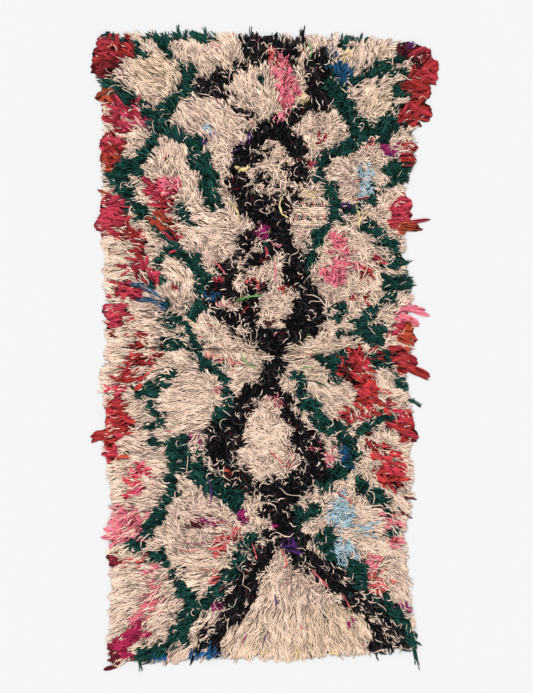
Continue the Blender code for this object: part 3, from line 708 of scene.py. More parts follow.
def thin_places(batches):
    """Places inside the rim where the fewest strands lie."""
    xs, ys = np.arange(-0.60, 0.60, FILL_STEP), np.arange(-1.08, 1.08, FILL_STEP)
    cover = np.zeros((len(xs) - 1, len(ys) - 1))
    for strands in batches.values():
        used = np.arange(PATH_STEPS + 1) <= strands["cut"][:, None] * PATH_STEPS
        x, y = strands["path"][used].T
        weight = np.repeat(strands["length"] * strands["radius"], used.sum(1))
        cover += np.histogram2d(x, y, [xs, ys], weights=weight)[0]
    i, j = np.unravel_index(np.argsort(cover, axis=None), cover.shape)
    x, y = xs[i] + FILL_STEP / 2, ys[j] + FILL_STEP / 2
    keep = (inset(x, y) > FILL_INSET) & ~is_worn(x, y) & ~np.isin(yarn_at(x, y), numbers_of("red"))
    return x[keep][:FILL_KNOTS], y[keep][:FILL_KNOTS]


def fill_pile(batches):
    """More strands over the thin places, and the ivory ones among them by themselves."""
    x, y = thin_places(batches)
    yarns = np.repeat(yarn_at(x, y), FILL_COPIES)
    strands = draw_strands(x, y, FILL_COPIES)
    strands["length"] *= FILL_LENGTH
    strands["turn"] += random.normal(0, FILL_TURN, len(strands))
    strands["layer"] -= FILL_SINK
    heading = flow(strands["x"], strands["y"])[0] + strands["turn"]
    for axis, share in (("x", np.cos(heading)), ("y", np.sin(heading))):
        strands[axis] += random.normal(0, FILL_JITTER, len(strands)) - FILL_BACK * strands["length"] * share
    strands = within_reach(lay(strands))
    ivory = []
    for number, yarn in enumerate(YARNS.values()):
        part = strands[yarns == number]
        part["radius"] *= yarn.radius
        part["hue"] = yarn.hue + random.normal(0, SPREAD[yarn.batch], len(part))
        if yarn.batch == "ivory":
            ivory.append(part)
        else:
            batches[yarn.batch] = np.concatenate([batches[yarn.batch], part])
    return np.concatenate(ivory)


def outward(x, y):
    """The way straight out past the nearest rim."""
    step = 0.01
    away_x = inset(x - step, y) - inset(x + step, y)
    return np.arctan2(inset(x, y - step) - inset(x, y + step), away_x)


TAIL_ROOT = 0.022  # how far inside the rim the locks that reach past it are knotted


def grow_tails(batches):
    """The locks of yarn that reach past the rim."""
    for name, (x, y, lean, count) in by_yarn(RIM_TAILS):
        yarn = YARNS[name]
        x, y = x / MM, y / MM
        heading = outward(x, y) + math.radians(lean)
        length = TAIL_ROOT - inset(x, y)
        side = random.normal(0, 0.0030, count)
        strands = fill_in(
            np.zeros(count, STRAND),
            x=x - length * math.cos(heading) - side * math.sin(heading),
            y=y - length * math.sin(heading) + side * math.cos(heading),
            turn=heading + random.normal(0, 0.035, count),
            length=length * random.uniform(0.72, 1.0, count),
            curl=random.normal(0, 0.12, count),
            layer=random.uniform(0.9, 1.05, count),
            tip=1.0,
            gather=0.8 * side,
            radius=yarn.radius,
            hue=yarn.hue,
            shade=random.random(count),
            wave=random.uniform(0, 2 * math.pi, count),
            sway=0.0012,
        )
        batches[yarn.batch] = np.concatenate([batches[yarn.batch], lay(strands)])


CREST = 0.40  # share of its length at which a strand lies highest


def strand_centres(strands, stations):
    """Centre lines of strands: out of the knot, up through the pile and over, to rest outside the rim."""
    t = np.asarray(stations)[None, :]
    place = t * strands["cut"][:, None] * PATH_STEPS
    step = np.minimum(place.astype(int), PATH_STEPS - 1)
    row = np.arange(len(strands))[:, None]
    part = (place - step)[..., None]
    plan = strands["path"][row, step] * (1 - part) + strands["path"][row, step + 1] * part
    radius = strands["radius"][:, None]
    top = pile_top(plan[..., 0], plan[..., 1]) * strands["layer"][:, None]
    rise = 1 - (1 - np.minimum(t / CREST, 1)) ** 2
    fall = (1 - strands["tip"][:, None]) * np.maximum((t - CREST) / (1 - CREST), 0) ** 1.5
    reach = (strands["length"] * strands["cut"])[:, None]
    kink = strands["wave"][:, None] + 2 * math.pi * t * reach / WAVE_LENGTH
    z = radius + (top - radius) * (rise - fall) + 0.6 * strands["sway"][:, None] * np.cos(kink)
    return np.concatenate([plan, np.maximum(z, radius * 0.8)[..., None]], axis=-1)


def build_mesh(name, verts, quads, tris, uv, values):
    """A mesh object from arrays of points, faces, corner coordinates and point values."""
    mesh = bpy.data.meshes.new(name)
    mesh.vertices.add(len(verts))
    mesh.vertices.foreach_set("co", verts.astype(np.float32).ravel())
    corners = np.concatenate([quads.ravel(), tris.ravel()]).astype(np.int32)
    mesh.loops.add(len(corners))
    mesh.loops.foreach_set("vertex_index", corners)
    starts = np.concatenate([np.arange(len(quads)) * 4, len(quads) * 4 + np.arange(len(tris)) * 3])
    mesh.polygons.add(len(starts))
    mesh.polygons.foreach_set("loop_start", starts.astype(np.int32))
    mesh.update(calc_edges=True)
    mesh.validate()
    mesh.shade_smooth()
    layer = mesh.uv_layers.new(name="OFBake")
    layer.data.foreach_set("uv", uv.astype(np.float32).ravel())
    for key, array in values.items():
        mesh.attributes.new(key, "FLOAT", "POINT").data.foreach_set("value", array.astype(np.float32))
    return show(bpy.data.objects.new(name, mesh))


def show(thing):
    """Puts an object in the scene."""
    bpy.context.scene.collection.objects.link(thing)
    return thing


NO_TRIS = np.zeros((0, 3), int)


def grid_faces(across, along):
    """The faces of a grid of points that are numbered row by row."""
    first = (np.arange(along)[:, None] * (across + 1) + np.arange(across)).ravel()
    return np.stack([first, first + 1, first + across + 2, first + across + 1], axis=-1)


def join_alike(name, verts, quads, tris, spots, margin, tallness, values):
    """One mesh of many small parts alike, each with a cell of the texture to itself."""
    count, per = verts.shape[:2]
    per_row = max(1, int(math.sqrt(count * tallness)))
    rows = -(-count // per_row)
    cell = np.arange(count)
    corner = np.stack([cell % per_row / per_row, cell // per_row / rows], axis=-1)
    size = np.array([1 / per_row, 1 / rows])
    uv = (corner[:, None] + size * (margin + (1 - 2 * margin) * spots)).reshape(-1, 2)
    start = (cell * per)[:, None, None]
    quads, tris = (quads + start).reshape(-1, 4), (tris + start).reshape(-1, 3)
    corners = np.concatenate([quads.ravel(), tris.ravel()])
    return build_mesh(name, verts.reshape(-1, 3), quads, tris, uv[corners], values)


RIDGE_ANGLES = np.radians([210, 90, 330])  # a strand's left edge, its ridge and its right edge
RIDGE_PAINTED_LIGHT = 0.50  # painted light on a strand's ridge and painted shade at its edges: how much lighter the ridge is painted than the edges


def unit(vectors):
    """Vectors with a length of 1."""
    return vectors / np.maximum(np.linalg.norm(vectors, axis=-1, keepdims=True), 1e-9)


def strand_mesh(name, lines, radii, stations, hue, shade):
    """One mesh of many strands with a ridge, that end in points. Lines are (strand, ring, xyz), tips last."""
    count, rings = radii.shape
    ahead = unit(np.diff(lines, axis=1))
    side = unit(np.cross(ahead, [0.0, 0.0, 1.0]))
    above = np.cross(side, ahead)
    cosines, sines = (turned[None, None, :, None] for turned in (np.cos(RIDGE_ANGLES), np.sin(RIDGE_ANGLES)))
    ring = side[:, :, None] * cosines + above[:, :, None] * sines
    walls = lines[:, :-1, None] + ring * radii[:, :, None, None]
    verts = np.concatenate([walls.reshape(count, rings * 3, 3), lines[:, -1:]], axis=1)
    verts[..., 2] = np.maximum(verts[..., 2], 0.0002)
    last, tip = (rings - 1) * 3, rings * 3
    tris = np.array([(last, last + 1, tip), (last + 1, last + 2, tip)])
    spots = np.stack(np.meshgrid([0, 0.5, 1], [0.92 * s for s in stations]), axis=-1).reshape(-1, 2)
    spots = np.concatenate([spots, [(0.5, 1.0)]])
    # 'along' brings painted shade towards each strand's root; the tone mixes the strand's own random tone
    # with painted light on its ridge and painted shade at its edges.
    along = np.concatenate([np.repeat(stations, 3), [1.0]])
    ridge = np.concatenate([np.tile([0.0, 1.0, 0.0], rings), [0.5]])
    tone_and_painted_light = (1 - RIDGE_PAINTED_LIGHT) * np.asarray(shade)[:, None] + RIDGE_PAINTED_LIGHT * ridge[None, :]
    values = {"along": np.tile(along, count), "hue": np.repeat(hue, tip + 1), "shade": tone_and_painted_light.ravel()}
    return join_alike(name, verts, grid_faces(2, rings - 1), tris, spots, 0.08, 3.5, values)


# Where a strand's rings stand along it, and how wide it is at each
LONG = ((0.0, 0.16, 0.32, 0.48, 0.64, 0.80, 0.94), (0.60, 0.95, 1.00, 1.00, 0.95, 0.85, 0.55))
SHORT = ((0.0, 0.33, 0.66, 0.93), (0.80, 1.05, 1.00, 0.65))


def strand_piece(name, strands, stations, widths):
    """A piece of pile from records of strands."""
    lines = strand_centres(strands, (*stations, 1.0))
    radii = strands["radius"][:, None] * np.asarray(widths)[None, :]
    return strand_mesh(name, lines, radii, np.asarray(stations), strands["hue"], strands["shade"])


def through(points, count):
    """So many points evenly along a smooth curve through a few."""
    points = np.asarray(points, float)
    padded = np.concatenate([2 * points[:1] - points[1:2], points, 2 * points[-1:] - points[-2:-1]])
    place = np.linspace(0, len(points) - 1, count)
    i = np.minimum(place.astype(int), len(points) - 2)
    t = (place - i)[:, None]
    a, b, c, d = (padded[i + k] for k in range(4))
    return 0.5 * (2 * b + (c - a) * t + (2 * a - 5 * b + 4 * c - d) * t**2 + (3 * b - a - 3 * c + d) * t**3)


THREAD_RINGS = 9
THREAD_WOBBLE = 0.0012


def thread_piece(name, threads):
    """The single threads of one batch that lie on top of the pile."""
    stations = np.linspace(0, 1, THREAD_RINGS + 1)
    lines, radii, hue, shade = [], [], [], []
    for number, (yarn, (radius, *points)) in enumerate(threads):
        radius = radius / TENTH_MM
        line = through(line_points(points), THREAD_RINGS + 1)
        wobble = [np.sin(stations * 17 + number * 2), np.cos(stations * 21 + number * 3)]
        line = line + THREAD_WOBBLE * np.column_stack(wobble)
        z = pile_top(line[:, 0], line[:, 1]) * 1.02 + (0.002 + 0.002 * np.sin(stations * 9 + number))
        z[0] -= 0.008
        lines.append(np.column_stack([line, np.maximum(z, radius)]))
        radii.append(radius * (0.75 + 0.25 * np.sin(stations[:-1] * 11 + number)))
        hue.append(YARNS[yarn].hue)
        shade.append(0.5 + 0.3 * math.sin(number * 2.4))
    return strand_mesh(name, np.array(lines), np.array(radii), stations[:-1], hue, shade)


# Rag strips
RAG = np.dtype([(name, float) for name in "x y heading length curl layer width tilt hue shade".split()])
CREASES = 3  # waves that the crumple of a strip is made of


def crumple(count, q, t):
    """How cloth is crumpled, from 0 in its folds to 1 on its creases, over each strip."""
    height = np.zeros((count, t.shape[1], q.shape[2]))
    for wave in range(CREASES):
        across = random.uniform(1.2, 3.0, (count, 1, 1)) * (1 + 0.6 * wave)
        along = random.normal(0, 2.4, (count, 1, 1))
        phase = random.uniform(0, 2 * math.pi, (count, 1, 1))
        ridge = 1 - np.abs(np.sin(across * q + along * t + phase))
        height = height + ridge / (1 + 0.7 * wave)
    low, high = height.min((1, 2), keepdims=True), height.max((1, 2), keepdims=True)
    return smooth((height - low) / (high - low))


def rag_piece(name, rags, across, along):
    """Torn strips of cloth, crumpled along their length, with so many faces each and a ragged end."""
    count = len(rags)
    wide, tall = across + 1, along + 1
    q = np.linspace(-1, 1, wide)[None, None, :]
    t = np.linspace(0, 1, tall)[None, :, None]
    ragged = 1 - (0.05 * random.random((count, 1, wide)) + 0.16 * q**2) * smooth((t - 0.4) / 0.6)
    fold = crumple(count, q, t)
    t = t * ragged
    field = {key: rags[key][:, None, None] for key in RAG.names}
    curl = np.where(np.abs(field["curl"]) < 0.02, 0.02, field["curl"])
    width = field["width"] * (0.45 + 0.55 * smooth(t / 0.30)) * (1 - 0.30 * smooth((t - 0.68) / 0.32))
    width = width * (1 + 0.16 * (fold - 0.5))
    turn = field["heading"] + curl * t
    x = field["x"] + field["length"] / curl * (np.sin(turn) - np.sin(field["heading"]))
    y = field["y"] - field["length"] / curl * (np.cos(turn) - np.cos(field["heading"]))
    off = q * width / 2
    x, y = x - off * np.sin(turn), y + off * np.cos(turn)
    top = pile_top(x, y) * field["layer"]
    deep = np.minimum(0.0085, 0.28 * field["width"])
    z = 0.003 + (top - 0.003) * (1 - (1 - t) ** 2.6)
    z = z + deep * (fold - 0.75) + 0.20 * field["tilt"] * off
    z = np.maximum(z, 0.0012 + 0.0030 * fold)
    verts = np.stack([x, y, z], axis=-1).reshape(count, wide * tall, 3)
    spots = np.stack(np.meshgrid(np.linspace(0, 1, wide), np.linspace(0, 1, tall)), axis=-1).reshape(-1, 2)
    # 'along' puts painted root shade at a strip's knotted end; 'shade' mixes the strip's own tone with
    # painted shade in the folds and painted highlight on the creases of its crumple.
    values = {
        "along": np.broadcast_to(0.25 + t, x.shape).reshape(-1),
        "hue": np.repeat(rags["hue"], wide * tall),
        "shade": (0.40 * field["shade"] + 0.60 * fold).reshape(-1),
    }
    return join_alike(name, verts, grid_faces(across, along), NO_TRIS, spots, 0.05, 2, values)


FAR_FADE = 0.75  # how much darker the rags get for each metre along the rug


def rag_shade(y, low, high):
    """How light rags are: the far ones are darker than the near ones."""
    return random.uniform(low, high, np.shape(y)) * np.clip(1.10 - FAR_FADE * np.asarray(y), 0.55, 1.45)


RimRag = namedtuple("RimRag", "yarn x y lean length width")
PAIRED_WIDTH = 0.020  # rim rags wider than this have a smaller one at each side


def rim_rags():
    """The rags that reach past the rim, from the table, and which of them are pink."""
    table = [
        RimRag(yarn, x / MM, y / MM, lean, length / MM, width / MM)
        for yarn, (x, y, lean, length, width) in by_yarn(RIM_RAGS)
    ]
    rows = list(table)
    for row in table:
        for side in (-0.32, 0.34) if row.width > PAIRED_WIDTH else ():
            heading = outward(row.x, row.y)
            back = random.uniform(0.000, 0.012)
            rows.append(
                row._replace(
                    x=row.x - side * row.width * math.sin(heading) - back * math.cos(heading),
                    y=row.y + side * row.width * math.cos(heading) - back * math.sin(heading),
                    lean=row.lean + 22 * side + random.normal(0, 6),
                    length=row.length * random.uniform(0.7, 0.9),
                    width=row.width * random.uniform(0.35, 0.60),
                )
            )
    rags = np.zeros(len(rows), RAG)
    for rag, row in zip(rags, rows):
        heading = outward(row.x, row.y) + math.radians(row.lean)
        fill_in(
            rag,
            heading=heading,
            x=row.x - row.length * math.cos(heading),
            y=row.y - row.length * math.sin(heading),
            length=row.length,
            width=row.width,
            curl=random.normal(0, 0.05),
            layer=random.uniform(1.00, 1.22),
            tilt=random.normal(0, 1),
            hue=YARNS[row.yarn].hue + random.normal(0, 0.06),
            shade=rag_shade(row.y, 0, 0.6),
        )
    return rags, np.array([YARNS[row.yarn].batch == "pink" for row in rows])


RAG_YARNS = ("red", "deep red", "orange", "crimson", "maroon", "hot pink")
OVER_WIDE = 0.25  # share of the loose red strands kept over the wide strips
WIDE_FROM = 0.44  # how far to the side the wide strips start
INNER_REDS, INNER_SIZE = 0.27, 0.55  # strips this near the middle are small scraps, and their share of size

# Strips in the pattern: share of the knots in the reds, lengths, widths, how they curl, and their shades
WIDE_STRIPS = (0.42, (0.055, 0.090), (0.026, 0.054), 0.25, (0, 0.6))
NARROW_STRIPS = (0.90, (0.040, 0.080), (0.006, 0.016), 0.5, (0.2, 1))
WIDE_FACES, NARROW_FACES = (9, 10), (4, 6)  # faces of a strip, across and along
STRIP_MIDDLE = 0.024  # how far from its knot the middle of a strip lies
PAST_RIM = 0.016  # how far strips in the pattern may reach past the rim
HOT_PINK_HUE = 0.62  # of hot pink strips, in the palette of the reds


def pattern_rags(x, y, wide):
    """Strips knotted in where the pattern has reds: wide ones near the sides, narrow ones further in."""
    knot_share, lengths, widths, curl, shades = WIDE_STRIPS if wide else NARROW_STRIPS
    heading, _ = flow(x, y)
    yarns = yarn_at(x + STRIP_MIDDLE * np.cos(heading), y + STRIP_MIDDLE * np.sin(heading))
    reds = [YARN_NAMES.index(name) for name in RAG_YARNS]
    chosen = np.isin(yarns, reds) & (random.random(x.shape) < knot_share)
    edge = WIDE_FROM + 0.02 * random.normal(0, 1, x.shape)
    chosen &= (np.abs(x) > edge) if wide else (np.abs(x) < edge + 0.03)
    x, y, heading, yarns = (array[chosen] for array in (x, y, heading, yarns))
    size = 1.0 if wide else np.where(np.abs(x) < INNER_REDS, INNER_SIZE, 1.0)
    rags = fill_in(
        np.zeros(len(x), RAG),
        x=x,
        y=y,
        heading=heading + random.normal(0, 0.22, x.shape),
        length=random.uniform(*lengths, x.shape) * size,
        width=random.uniform(*widths, x.shape) * size,
        curl=random.normal(0, curl, x.shape),
        layer=random.uniform(0.85, 1.18, x.shape),
        tilt=random.normal(0, 1, x.shape),
        hue=YARN_HUES[yarns] + random.normal(0, 0.07, x.shape),
        shade=rag_shade(y, *shades),
    )
    rags["hue"] = np.where(yarns == YARN_NAMES.index("hot pink"), HOT_PINK_HUE, rags["hue"])
    end_x = rags["x"] + rags["length"] * np.cos(rags["heading"])
    end_y = rags["y"] + rags["length"] * np.sin(rags["heading"])
    start, end = inset(rags["x"], rags["y"]), inset(end_x, end_y)
    share = np.clip((start + PAST_RIM) / np.maximum(start - end, 1e-6), 0.3, 1)
    rags["length"] = np.where(end < -PAST_RIM, rags["length"] * share, rags["length"])
    return rags


# The matted roots of the pile
ROOT_STEP = 0.0080
ROOT_HEIGHT = 0.50  # share of the pile's height that its matted roots fill


def plan_uv(points):
    """Corner coordinates that lie over the rug as seen from above."""
    return (points[:, :2] + [0.6, 1.1]) / [1.2, 2.2]


def root_pieces():
    """The matted roots under the strands, one lumpy layer for each batch of yarn, darkened with painted
    shade.
    """
    xs, ys = np.arange(-0.56, 0.56, ROOT_STEP), np.arange(-1.03, 1.03, ROOT_STEP)
    x, y = np.meshgrid(xs, ys, indexing="ij")
    x, y = x + random.normal(0, 0.0008, x.shape), y + random.normal(0, 0.0008, y.shape)
    z = ROOT_HEIGHT * pile_top(x, y) * random.uniform(0.75, 1.15, x.shape)
    z = np.maximum(np.where(is_worn(x, y), WORN_TOP, z), GROUND_THICKNESS + 0.001)
    points = np.column_stack([x.ravel(), y.ravel(), z.ravel()])
    quads = grid_faces(len(ys) - 1, len(xs) - 1)[:, [0, 3, 2, 1]]
    middle = points[quads].mean(1)
    kept = inset(middle[:, 0], middle[:, 1]) > 0.005
    yarns = yarn_at(middle[:, 0], middle[:, 1])
    yarns[yarns == NO_YARN] = YARN_NAMES.index("cream")
    for batch in MATERIALS:
        chosen = kept & np.isin(yarns, numbers_of(batch))
        used, faces = np.unique(quads[chosen], return_inverse=True)
        faces = faces.reshape(-1, 4)
        hue = np.zeros(len(used))
        hue[faces.ravel()] = np.repeat(YARN_HUES[yarns[chosen]], 4)
        # Painted shade: low 'along' and 'shade' values darken the roots through the painted root shade and
        # strand contrast, less under ivory.
        light, shades = ((0.10, 0.42), (0.15, 0.60)) if batch == "ivory" else ((0.0, 0.25), (0.0, 0.35))
        values = {
            "along": random.uniform(*light, len(used)),
            "hue": hue,
            "shade": random.uniform(*shades, len(used)),
        }
        uv = plan_uv(points[used])[faces.ravel()]
        dress(build_mesh(batch + "_roots", points[used], faces, NO_TRIS, uv, values), batch)


GROUND_ACROSS, GROUND_ALONG = 24, 48  # faces of the woven ground


def make_ground():
    """The woven ground under the pile: a thin sheet with the rug's outline."""
    across, along = GROUND_ACROSS, GROUND_ALONG
    v, u = np.meshgrid(np.linspace(-1, 1, along + 1), np.linspace(-1, 1, across + 1), indexing="ij")
    u, v = u.ravel(), v.ravel()
    near, far = end_edges(u / 2)
    y = near + (far - near) * (v + 1) / 2
    left, right = side_edges(y)
    x = left + (right - left) * (u + 1) / 2
    worn = np.hypot((x - WORN_X) / WORN_HALF_WIDTH, (y - WORN_Y) / WORN_HALF_LENGTH)
    lift = GROUND_THICKNESS + 0.006 * (1 - smooth(worn - 0.6))
    verts = np.concatenate([np.column_stack([x, y, lift]), np.column_stack([x, y, np.zeros(len(x))])])
    top = grid_faces(across, along)
    wide = across + 1
    over, up = np.arange(across), np.arange(along)
    edge = np.concatenate([over, up * wide + across, along * wide + across - over, (along - up) * wide])
    following = np.roll(edge, -1)
    walls = np.stack([edge, edge + len(x), following + len(x), following], axis=-1)
    faces = np.concatenate([top, top[:, ::-1] + len(x), walls])
    uv = plan_uv(verts)[faces.ravel()] * [0.48, 0.96] + 0.01
    uv[len(top) * 4 : len(top) * 8, 0] += 0.5
    return build_mesh("ground_weave", verts, faces, NO_TRIS, uv, {})


WEAVE_ROW = 0.0060
KNOT_ROWS = (0.464, 0.458, 0.425, 0.415, 0.389)  # rows of cut knots that still show


def worn_half_width(y):
    """Half the width of the worn patch at a station along the rug."""
    return WORN_HALF_WIDTH * math.sqrt(max(0.0, 1 - ((y - WORN_Y) / WORN_HALF_LENGTH) ** 2)) + 0.004


def weft_stitches():
    """Places of the short stitches that the wefts show as in the worn patch."""
    places = []
    for y in np.arange(WORN_Y - WORN_HALF_LENGTH, WORN_Y + WORN_HALF_LENGTH, WEAVE_ROW):
        half = worn_half_width(y)
        shift = random.uniform(0, 0.005)
        places += [(x, y) for x in np.arange(WORN_X - half + shift, WORN_X + half, 0.0085)]
    return places


def knot_stubs():
    """Places of the cut knots left in the worn patch."""
    places = []
    for y in KNOT_ROWS:
        half = worn_half_width(y) * 0.92
        places += [(x, y) for x in np.arange(WORN_X - half, WORN_X + half, 0.0062) if random.random() < 0.88]
    return places


# Stitches: radius, length, heading, and how high their middle lies over the worn ground
WEFT_STITCH = (0.0037, 0.0125, 0.0, 0.0034)
KNOT_STUB = (0.0030, 0.0115, 1.45, 0.0062)
STUB_BATCHES = (("black", 0, 2, 0.3), ("green", 1, 4, 0.6), ("red", 3, 4, 0.6))  # first, every how many, hue


def stitch_piece(name, places, stitch, hue):
    """Short stitches that lie in rows on the worn ground."""
    radius, length, heading, lift = stitch
    places = np.array(places)
    count = len(places)
    x = places[:, 0] + random.normal(0, 0.0006, count)
    y = places[:, 1] + random.normal(0, 0.0006, count)
    turn = heading + random.normal(0, 0.15, count)
    x, y, turn = x[:, None], y[:, None], turn[:, None]
    stations = np.array([0.0, 0.35, 0.80])
    reach = np.concatenate([stations, [1.0]])[None, :] - 0.5
    z = WORN_TOP + lift * (1 - (2 * reach) ** 2) + 0 * x
    lines = np.stack([x + length * reach * np.cos(turn), y + length * reach * np.sin(turn), z], axis=-1)
    radii = radius * np.array([0.6, 1.0, 0.9])[None, :] * random.uniform(0.85, 1.15, (count, 1))
    return strand_mesh(name, lines, radii, stations, np.full(count, hue), random.random(count))


# Materials


def new_material(name):
    """An empty material, and its nodes."""
    material = bpy.data.materials.new(name)
    material.use_nodes = True
    material.node_tree.nodes.clear()
    return material, material.node_tree


def add(tree, kind, inputs=(), **settings):
    """A new node with its settings. Inputs are values, or wires as (node, output)."""
    node = tree.nodes.new(kind)
    for key, value in settings.items():
        setattr(node, key, value)
    for slot, value in dict(inputs).items():
        if isinstance(value, tuple) and isinstance(value[0], bpy.types.Node):
            tree.links.new(value[0].outputs[value[1]], node.inputs[slot])
        else:
            node.inputs[slot].default_value = value
    return node


def maths(tree, operation, *values):
    """The wire out of a new maths node."""
    return add(tree, "ShaderNodeMath", dict(enumerate(values)), operation=operation), 0


def fibre_group():
    """Effect: how spun or torn fibre looks: painted shade towards its root, its tone with the painted light
    held in its shade attribute, mottled, and a fine fuzz raised on it.
    """
    group = bpy.data.node_groups.new("fibre finish", "ShaderNodeTree")
    for name, kind, value in (
        ("Dye", "NodeSocketColor", (0.8, 0.8, 0.8, 1)),
        ("Root shade", "NodeSocketFloat", 0.5),
        ("Strand contrast", "NodeSocketFloat", 0.3),
        ("Mottle", "NodeSocketFloat", 0.2),
        ("Raise", "NodeSocketFloat", 0.4),
    ):
        group.interface.new_socket(name, in_out="INPUT", socket_type=kind).default_value = value
    group.interface.new_socket("Colour", in_out="OUTPUT", socket_type="NodeSocketColor")
    group.interface.new_socket("Normal", in_out="OUTPUT", socket_type="NodeSocketVector")
    inside = add(group, "NodeGroupInput")
    place = (add(group, "ShaderNodeTexCoord"), "Object")
    along = (add(group, "ShaderNodeAttribute", attribute_name="along"), "Fac")
    shade = (add(group, "ShaderNodeAttribute", attribute_name="shade"), "Fac")
    cloud, fuzz = (
        (add(group, "ShaderNodeTexNoise", {"Vector": place, "Scale": scale, "Detail": detail}), "Fac")
        for scale, detail in ((120, 3), (900, 4))
    )
    # Painted shade towards the root: the dye is darkened from one less the painted root shade at the root to
    # full at 0.55 of the way along.
    depth = maths(group, "SUBTRACT", 1.0, (inside, "Root shade"))
    rise = add(group, "ShaderNodeMapRange", {"Value": along, "From Max": 0.55, "To Min": depth})
    # The shade attribute holds each strand's own random tone mixed with painted ridge light, painted shade at
    # edges and in rag folds, and painted highlight on rag creases; strand contrast scales it.
    centred = maths(group, "SUBTRACT", shade, 0.5)
    tone_and_painted_light = maths(group, "MULTIPLY_ADD", centred, (inside, "Strand contrast"), 1.0)
    centred_cloud = maths(group, "SUBTRACT", cloud, 0.5)
    mottle = maths(group, "MULTIPLY_ADD", centred_cloud, (inside, "Mottle"), 1.0)
    light = maths(group, "MULTIPLY", maths(group, "MULTIPLY", (rise, "Result"), tone_and_painted_light), mottle)
    dye = add(group, "ShaderNodeVectorMath", {0: (inside, "Dye"), "Scale": light}, operation="SCALE")
    bump = add(group, "ShaderNodeBump", {"Distance": 0.0012, "Strength": (inside, "Raise"), "Height": fuzz})
    add(group, "NodeGroupOutput", {"Colour": (dye, 0), "Normal": (bump, "Normal")})
    return group


FIBRE = fibre_group()


def fibre_material(name, painted_root_shade, contrast, mottle, raise_by, sheen, palette):
    """Wool or rag whose dye is read from a short palette by each strand's hue."""
    material, tree = new_material(name)
    hue = add(tree, "ShaderNodeAttribute", attribute_name="hue")
    ramp = add(tree, "ShaderNodeValToRGB", {"Fac": (hue, "Fac")})
    stops = ramp.color_ramp.elements
    while len(stops) < len(palette):
        stops.new(0.5)
    for stop, (at, *colour) in zip(stops, palette):
        stop.position = at
        stop.color = (*colour, 1)
    inputs = {
        "Dye": (ramp, "Color"),
        "Root shade": painted_root_shade,
        "Strand contrast": contrast,
        "Mottle": mottle,
        "Raise": raise_by,
    }
    finish = add(tree, "ShaderNodeGroup", inputs, node_tree=FIBRE)
    inputs = {
        "Base Color": (finish, "Colour"),
        "Normal": (finish, "Normal"),
        "Roughness": 0.92,
        "Specular IOR Level": 0.08,
        "Sheen Weight": sheen,
        "Sheen Roughness": 0.6,
    }
    shader = add(tree, "ShaderNodeBsdfPrincipled", inputs)
    add(tree, "ShaderNodeOutputMaterial", {"Surface": (shader, "BSDF")})
    return material


# Palettes: where along the palette a dye is, and its red, green and blue
IVORY_PALETTE = (
    (0, 0.4, 0.27, 0.21), (0.22, 0.66, 0.48, 0.4), (0.5, 0.75, 0.58, 0.465), (0.78, 0.72, 0.55, 0.42),
    (1, 0.66, 0.485, 0.345),
)
GREEN_PALETTE = ((0, 0.0025, 0.013, 0.014), (0.5, 0.0055, 0.039, 0.031), (1, 0.021, 0.1, 0.078))
BLACK_PALETTE = ((0, 0.002, 0.0015, 0.002), (0.55, 0.007, 0.005, 0.006), (1, 0.06, 0.046, 0.048))
RED_PALETTE = (
    (0, 0.3, 0.055, 0.022), (0.3, 0.31, 0.032, 0.024), (0.5, 0.27, 0.02, 0.02), (0.7, 0.4, 0.034, 0.062),
    (0.86, 0.14, 0.012, 0.014), (1, 0.065, 0.006, 0.012),
)
PINK_PALETTE = (
    (0, 0.62, 0.095, 0.08), (0.45, 0.74, 0.19, 0.25), (0.66, 0.7, 0.15, 0.22), (0.82, 0.62, 0.045, 0.13),
    (1, 0.33, 0.014, 0.065),
)
BLUE_PALETTE = (
    (0, 0.36, 0.47, 0.51), (0.34, 0.18, 0.34, 0.43), (0.5, 0.014, 0.12, 0.29), (0.68, 0.012, 0.1, 0.24),
    (0.8, 0.012, 0.075, 0.16), (1, 0.007, 0.05, 0.11),
)
ODDMENT_PALETTE = (
    (0, 0.74, 0.56, 0.27), (0.16, 0.72, 0.58, 0.3), (0.2, 0.16, 0.38, 0.1), (0.42, 0.12, 0.34, 0.12),
    (0.46, 0.06, 0.012, 0.13), (0.74, 0.08, 0.015, 0.14), (0.78, 0.28, 0.012, 0.11), (1, 0.34, 0.02, 0.14),
)


def ground_material():
    """Plain weave of brown wool, its warps and wefts raised, with painted shade in the gaps between them."""
    material, tree = new_material("ground weave")
    place = (add(tree, "ShaderNodeTexCoord"), "Object")
    warps, wefts = (
        add(
            tree,
            "ShaderNodeTexWave",
            {"Vector": place, "Scale": scale, "Distortion": 1.2, "Detail": 2},
            bands_direction=direction,
        )
        for direction, scale in (("X", 45.0), ("Y", 62.0))
    )
    weave = maths(tree, "MULTIPLY", (warps, "Fac"), (wefts, "Fac"))
    ramp = add(tree, "ShaderNodeValToRGB", {"Fac": weave})
    # The dark end of the ramp is painted shade in the gaps of the weave.
    ramp.color_ramp.elements[0].color = (0.09, 0.062, 0.044, 1)
    ramp.color_ramp.elements[1].color = (0.44, 0.34, 0.25, 1)
    bump = add(tree, "ShaderNodeBump", {"Strength": 0.6, "Distance": 0.002, "Height": weave})
    inputs = {
        "Base Color": (ramp, "Color"),
        "Normal": (bump, "Normal"),
        "Roughness": 0.95,
        "Specular IOR Level": 0.15,
    }
    shader = add(tree, "ShaderNodeBsdfPrincipled", inputs)
    add(tree, "ShaderNodeOutputMaterial", {"Surface": (shader, "BSDF")})
    return material


